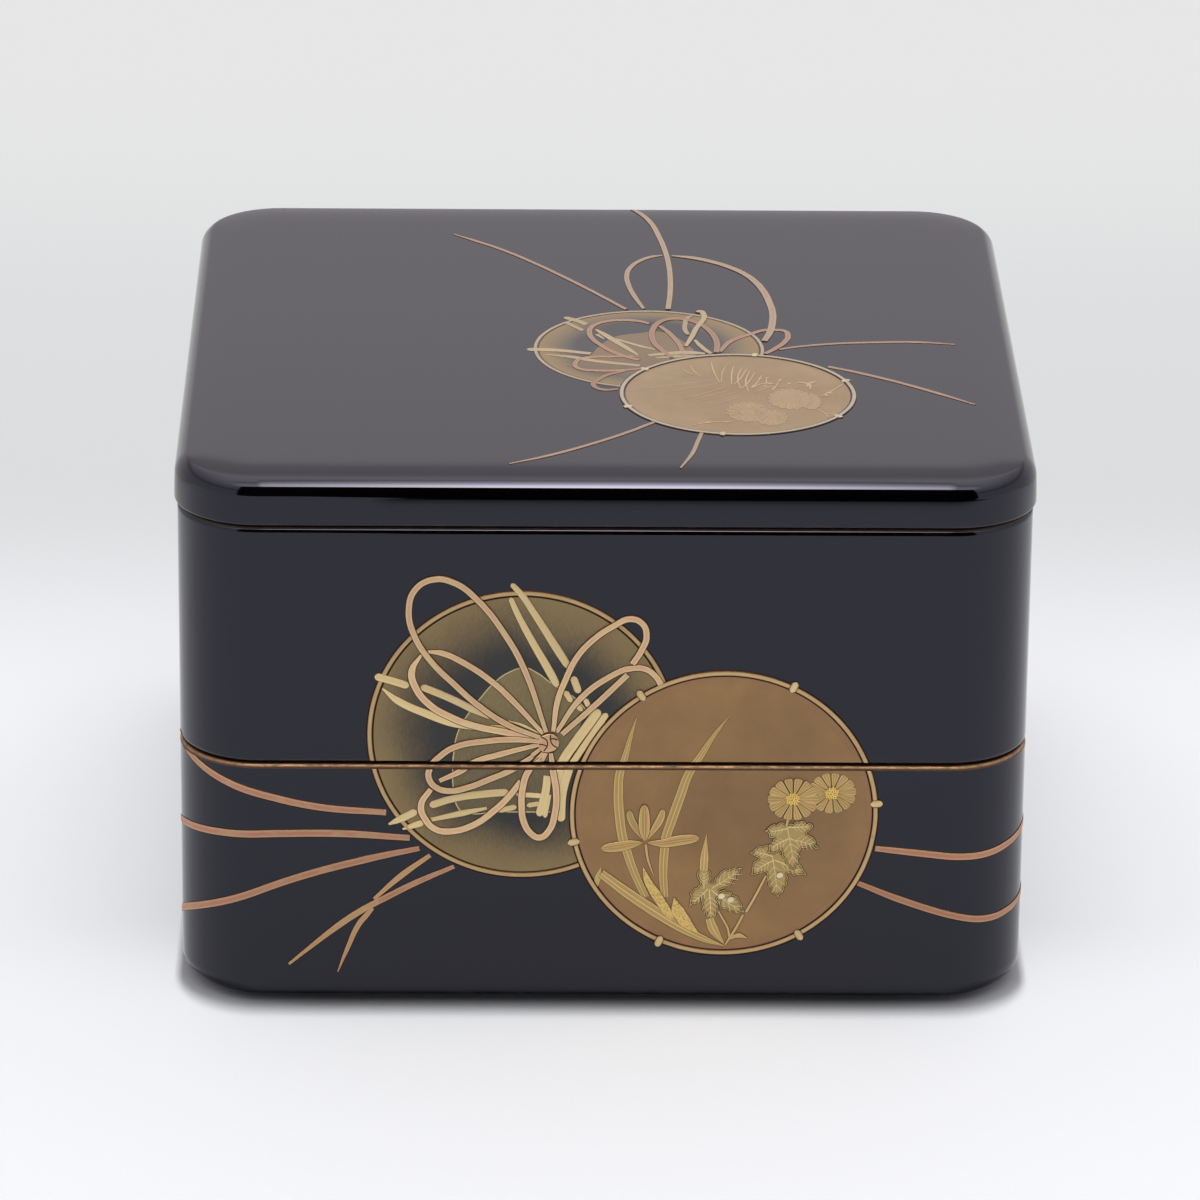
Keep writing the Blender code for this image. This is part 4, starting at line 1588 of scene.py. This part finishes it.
# the golds of the lid are duller
lidGoldTones = {
    "lid_cord_gold": ((175, 156, 129), (168, 141, 120), (179, 162, 134), (92, 68, 54)),
    "lid_tail_gold": ((168, 143, 121), (160, 132, 114), (173, 148, 123), (92, 68, 54)),
    "lid_loop_gold": ((164, 132, 109), (157, 122, 103), (170, 143, 114), (84, 60, 48)),
    "lid_strap_gold": ((176, 160, 127), (174, 157, 124), (167, 150, 117), (104, 84, 68)),
    "lid_ring_gold": ((174, 166, 142), (178, 169, 146), (157, 144, 119), (66, 54, 50)),
    "lid_back_ring_gold": ((166, 154, 132), (170, 158, 136), (152, 138, 114), (90, 74, 62)),
    "lid_peg_gold": ((196, 180, 144), (200, 184, 150), (186, 167, 130), (126, 106, 84)),
    "lid_pale_gold": ((189, 163, 128), (192, 166, 132), (180, 153, 119), (146, 118, 88)),
    "lid_bloom_gold": ((176, 152, 116), (172, 148, 112), (172, 148, 112)),
    "lid_ray_gold": ((166, 138, 110), (166, 138, 110), (162, 134, 106)),
}
golds.update({name: goldLook(name, *tones) for name, tones in lidGoldTones.items()})
lidTones = ((146, 123, 91), (157, 134, 101), (149, 128, 99), (140, 119, 92), (153, 130, 101))
lidFlowerSkin = powderedLook("lid_flower_drum_gold", drums["lidFlower"], "lid", lidTones, 0.983,
                             (112, 90, 76))
lidCordSkin = sprinkledLook("lid_cord_drum_dust", drums["lidCord"], "lid", (146, 124, 86), 0.985, 0.66,
                            1.02, line=(100, 82, 70), lively=0.6)
lidLobeSkin = sprinkledLook("lid_lobe_dust", drums["lidCord"], "lid", (142, 118, 84), 3.0,
                            evenly=(-36.0, 4.0), lively=0.7)
print("finishes of the lid drawing made")


lidDrumSet = {
    "pegs": (20, 80, 142, 199, 261, 327), "pegLong": 2.2, "pegHalf": 0.72, "pegOut": 0.6,
    "ringLine": 0.16, "ringHalf": 0.46, "ringPast": 0.8, "lobeOut": 1.3,
}


def addLidDrums():
    outline, toFront, opening = lensOutline(drums["lidCord"], drums["lidFlower"])
    skinPlate("lidFlowerDrumSkin", [circleOutline(drums["lidFlower"])], lidFlowerSkin, True, 0.03)
    skinPlate("lidCordDrumSkin", [outline], lidCordSkin, True, 0.015)
    lobe = smoothLine([
        (-8.6, -21.5), (-6.6, -19.0), (-4.6, -16.4), (-2.7, -13.2), (-0.3, -6.3), (3.4, -0.3),
        (9.1, 2.1), (12.7, 3.3), (15.6, 2.0), (18.4, -2.0), (21.0, -8.0), (22.2, -12.2),
    ])
    front = drums["lidFlower"]
    # it ends along the edge of the front drum
    reach = front["radius"] + lidDrumSet["lobeOut"]
    lobe += [onRing(front, angle, reach) for angle in range(108, 160, 6)]
    skinPlate("lidLobe", [lobe], lidLobeSkin, True, 0.03)
    half = lidDrumSet["ringHalf"]
    start = toFront + opening - lidDrumSet["ringPast"]
    back = ringArc(drums["lidCord"], start, 2 * toFront + 360 - start, half * 0.9)
    ring = ringArc(front, -10, 352, half)
    layOnLid("CordDrumRing", [back], "lid_back_ring_gold", 40, line=lidDrumSet["ringLine"] * 0.7)
    layOnLid("FlowerDrumRing", [ring], "lid_ring_gold", 41, 3, line=lidDrumSet["ringLine"])
    pegs = pegsRound(front, lidDrumSet)
    layOnLid("DrumPegs", pegs, "lid_peg_gold", 42, 4, line=0.05)


def addLidCords():
    tails = [
        cordLine(0.50, 0.51, 0.20, (6.1, 18.9), (-1.3, 31.0), (-8.4, 42.0), (-16.0, 52.9), (-24.2, 63.2),
                 (-30.2, 69.2), (-35.6, 74.3)),
        cordLine(0.42, 0.48, 0.22, (41.8, -9.2), (45.1, -7.6), (50.6, -5.9), (56.3, -4.7), (65.4, -3.8),
                 (74.5, -3.5), (83.6, -5)),
        cordLine(0.52, 0.56, 0.24, (52.9, -21), (59.9, -25.2), (68.6, -31.4), (77.1, -38.5), (85.9, -46.5)),
        cordLine(0.50, 0.52, 0.22, (11.6, -58.8), (5.1, -66), (-4, -74.4), (-13.6, -81.8), (-22, -86.8)),
    ]
    under = [
        cordLine(0.42, 0.60, 0.30, (10.3, 19.4), (8.2, 28.5), (6.9, 36.9), (6.6, 43.9), (7.6, 49.7),
                 (10, 54.8), (13.3, 58.1), (15.5, 58.9)),
        cordLine(0.44, 0.48, 0.20, (22.2, -65.3), (21.1, -71.3), (19.5, -80), (16.7, -89)),
    ]
    over = [
        cordLine(0.62, 0.64, 0.42, (16.1, 19.0), (16.8, 30), (17.1, 41.3), (16.9, 52.7), (16.2, 62.8),
                 (15, 73), (12.9, 84.7), (10.6, 91.4), (8.6, 95.4)),
        cordLine(0.30, 0.84, 0.72, (17.9, 58.6), (22.7, 57.2), (27.3, 54.4), (31.8, 50.1), (35.1, 45.4),
                 (37.7, 39.3), (39.6, 31.5), (40.6, 23.8), (41.1, 16.9), (40.8, 9.4), (39.9, 2.5),
                 (38.4, -3.5)),
    ]
    loops = [
        cordLine(0.50, 0.66, 0.55, (27.7, -11.0), (30.3, -3.9), (32.8, -0.7), (35.2, 1.4), (38.6, 4.3),
                 (41.5, 4.7), (43.4, 4.0), (44.2, 0.5), (43.3, -3.8), (40.8, -8.7), (38.3, -12.3)),
        cordLine(0.45, 0.64, 0.45, (8.7, -17), (7.2, -16.1), (4.9, -14.1), (2.3, -11.2), (-0.3, -6.8),
                 (-2.2, -2.4), (-2.9, 1.6), (-2.5, 5.6), (-0.8, 8.6), (1.9, 10.5), (5.3, 11.2), (9.2, 10.3),
                 (11.5, 8.6)),
        cordLine(0.52, 0.62, 0.55, (13.9, 7.0), (15.7, 2.9), (17.5, -2.7), (18.6, -8.3), (19.1, -14.6)),
        cordLine(0.32, 0.58, 0.38, (8.8, -14.4), (2.6, -14.6), (-2, -15), (-5, -16.2), (-6.4, -19.2),
                 (-6.3, -22.1), (-4.8, -23.8), (-1.8, -24.4), (3.1, -24.4), (8.8, -23)),
        cordLine(0.38, 0.58, 0.38, (5.0, -24.8), (1.1, -27.3), (-1.2, -30.7), (-2.4, -33.6), (-1.6, -36.4),
                 (0.3, -37.6), (3.3, -37.0)),
    ]
    near = [
        cordLine(0.55, 0.72, 0.62, (16.3, -15.4), (14.5, -11.2), (12.5, -5.6), (11.9, -0.7), (12.2, 4.3),
                 (14.0, 9.9), (16.4, 12.1), (18.8, 12.3), (21.2, 11.0), (23.5, 8.4), (25.7, 3.4),
                 (26.9, -1.9), (27.2, -6.8), (26.8, -11.7)),
    ]
    layOnLid("LoopsUnder", loops, "lid_loop_gold", 53, 1)
    layOnLid("LoopOver", near, "lid_loop_gold", 54, 2)
    layOnLid("CordTails", tails, "lid_tail_gold", 55, 1)
    layOnLid("CordsUnder", under, "lid_cord_gold", 43, 1)
    layOnLid("CordsOver", over, "lid_cord_gold", 44, 2)


def addLidStraps():
    straps = [
        rounded(0.9, (-17.8, -9.9), (-15.4, -9.9), (-11.6, -10.2), ends="first") + [(-2.7, -12.6, 0.70)],
        [(-13.6, -13.2, 0.25), (-6.7, -15.3, 0.85), (-3.1, -17.2, 0.88), (8.7, -20.9, 0.65)],
        rounded(0.9, (-8.8, 13), (-5.8, 10.6), (-3.5, 7.8)),
        [(-1.3, 4.3, 0.40), (0.6, 0.9, 0.82), (3.4, -4.3, 0.90), (6.4, -9.8, 0.72), (8.4, -13.6, 0.30)],
        rounded(0.66, (-8.6, 9.5), (-4.4, 3.6)),
        [(-1.2, 0.9, 0.55), (0.6, -2.4, 0.2)],
        [(3.4, -2.3, 0.4), (8.9, -7.1, 0.62), (12.5, -9.6, 0.3)],
        [(10.6, -13.6, 0.4), (14.4, -12.6, 0.95), (20.8, -11.6, 1.05), (24.2, -12.2, 0.5)],
        [(12.4, -15.4, 0.4), (17.2, -14.4, 0.8), (22.0, -14.0, 0.55)],
    ]
    layOnLid("Straps", straps, "lid_strap_gold", 45)
    hooks = [
        [(21.8, 14.3, 0.35), (21.0, 13.6, 0.55), (20.3, 11.9, 0.6), (20.0, 9.1, 0.6), (19.8, 5.5, 0.6),
         (20.1, 2.6, 0.6), (20.6, 0.9, 0.4)],
        [(22.0, -2.8, 0.4), (23.1, -6.5, 0.62), (24.9, -11.0, 0.62), (25.7, -12.4, 0.45)],
    ]
    layOnLid("Hooks", hooks, "lid_strap_gold", 46, 1, step=0.35)
    front = [[(23.0, 16.8, 0.40), (23.7, 17.7, 0.62), (24.4, 16.1, 0.72), (24.6, 12.7, 0.68),
              (23.9, 9.8, 0.66), (22.6, 5.5, 0.66), (21.4, -0.5, 0.66), (19.7, -7.6, 0.45)]]
    layOnLid("FrontHook", front, "lid_strap_gold", 47, 3, step=0.35)


scallopSet = {"depth": 0.13, "steps": 140}


def scalloped(x, y, wide, tall, lobes, turn=0.0):
    # a round bloom whose edge is a row of small rounded petals
    points = []
    for index in range(scallopSet["steps"]):
        angle = 2 * pi * index / scallopSet["steps"]
        reach = 1.0 - scallopSet["depth"] * (1.0 - abs(cos((angle + turn) * lobes / 2)))
        points.append((x + wide * reach * cos(angle), y + tall * reach * sin(angle)))
    return points


def addLidPlants():
    # low blooms, a fan of fine grass and small twigs, all in one pale gold
    blooms = [
        scalloped(33.0, -52.0, 4.9, 6.6, 15),
        scalloped(38.3, -55.8, 3.9, 5.2, 13, turn=0.3),
        scalloped(47.8, -44.8, 2.6, 5.4, 12, turn=0.2),
        scalloped(43.2, -43.4, 5.2, 6.8, 16, turn=0.1),
    ]
    skinPlate("lidBlooms", blooms, golds["lid_bloom_gold"], True, 0.045)
    edges = [[(x, y, 0.10) for x, y in outline[::2] + outline[:1]] for outline in blooms]
    layOnLid("BloomEdges", edges, "lid_pale_gold", 48, 1, line=0.06, step=fineStep)
    veins = []
    for x, y, wide, tall, count in ((33.0, -52.0, 4.3, 5.8, 15), (38.3, -55.8, 3.4, 4.6, 13),
                                    (43.2, -43.4, 4.6, 6.1, 16)):
        for index in range(count):
            angle = radians(360 / count * (index + 0.5))
            dx, dy = cos(angle), sin(angle)
            veins.append([(x + wide * 0.40 * dx, y + tall * 0.40 * dy, 0.05),
                          (x + wide * dx, y + tall * dy, 0.09)])
    layOnLid("BloomVeins", veins, "lid_pale_gold", 49, 1, line=0.0, step=0.4)
    grass = [
        [(18.5, -22.6), (19.7, -25.5), (21.1, -27.6)],
        [(20.5, -20.5), (21.3, -24.9), (22.8, -28.6)],
        [(25.5, -18.4), (25.8, -23.8), (27, -32.3)],
        [(29.3, -19.6), (28.2, -23.8), (27.4, -32.3)],
        [(30.7, -20.8), (30.1, -25.9), (29.8, -33.3)],
        [(32.4, -22.7), (31.4, -29.1), (31.8, -36.4)],
        [(33.6, -23.2), (31.8, -30.1), (30.2, -33.8)],
        [(34.3, -24.3), (33.2, -31.1), (33.6, -38.4)],
        [(35.5, -25.3), (33.4, -33.2), (31.9, -36.4)],
        [(37.2, -26.9), (35.2, -34.2), (34.2, -36.3)],
        [(38.2, -28.4), (37.9, -32.6)],
        [(41.6, -29.4), (39.8, -35.7), (39, -38.4)],
        [(34.6, -35.8), (37.6, -32.8), (40.6, -33.4)],
        [(35.4, -38.6), (38.8, -35.4), (42.0, -35.2)],
    ]
    halves = (0.11, 0.19, 0.11)
    strokes = [[(x, y, half) for (x, y), half in zip(blade, halves)] for blade in grass]
    layOnLid("Grass", strokes, "lid_pale_gold", 50, 1, line=0.0)
    rays = [
        ((28.2, -35.5), (18.1, -44.2)), ((29.6, -37.2), (20.4, -44.6)), ((31.0, -38.9), (22.7, -44.9)),
        ((31.8, -41.6), (25.5, -48.3)), ((26.5, -33.0), (13.6, -39.6)), ((24.8, -30.9), (5.5, -38.4)),
    ]
    fan = []
    for (x0, y0), (x1, y1) in rays:
        fan.append([(x0, y0, 0.22), ((x0 + x1) / 2, (y0 + y1) / 2, 0.26), (x1, y1, 0.06)])
    layOnLid("Rays", fan, "lid_ray_gold", 51, line=0.0, step=0.8)
    twigs = [
        [(50.1, -41.6, 0.16), (52.9, -37.8, 0.24), (55.8, -33.0, 0.20)],
        [(48.6, -50.1, 0.12), (50.8, -53.0, 0.22), (51.6, -55.5, 0.14)],
        [(51.4, -53.1, 0.14), (52.3, -53.4, 0.20), (53.1, -53.6, 0.14)],
        [(20.0, -61.3, 0.10), (23.8, -59.2, 0.18), (28.0, -58.9, 0.18), (29.9, -58.4, 0.10)],
        [(45.2, -32.1, 0.20), (46.5, -32.2, 0.42), (47.8, -33.1, 0.45), (48.0, -37.0, 0.12)],
        [(49.9, -31.4, 0.20), (48.9, -31.9, 0.42), (47.8, -33.1, 0.40), (47.4, -35.3, 0.15)],
    ]
    for x, y, angle in ((51.6, -40.7, 120), (52.4, -39.0, -20), (23.8, -59.2, 20), (28.0, -58.9, 0)):
        twigs.append(dot(x, y, 1.4, 0.42, angle))
    for x, y in ((36.6, -29.4), (38.2, -29.0), (37.6, -34.6), (38.8, -32.8), (39.5, -36.2), (34.9, -34.6),
                 (41.2, -30.7), (43.3, -32.8)):
        twigs.append(dot(x, y, 1.1, 0.40, 20))
    layOnLid("Twigs", twigs, "lid_pale_gold", 52, 1, line=0.0, step=fineStep)


addLidDrums()
addLidStraps()
addLidCords()
addLidPlants()
print("lid drawing laid")

bpy.data.objects.remove(sectionLine)
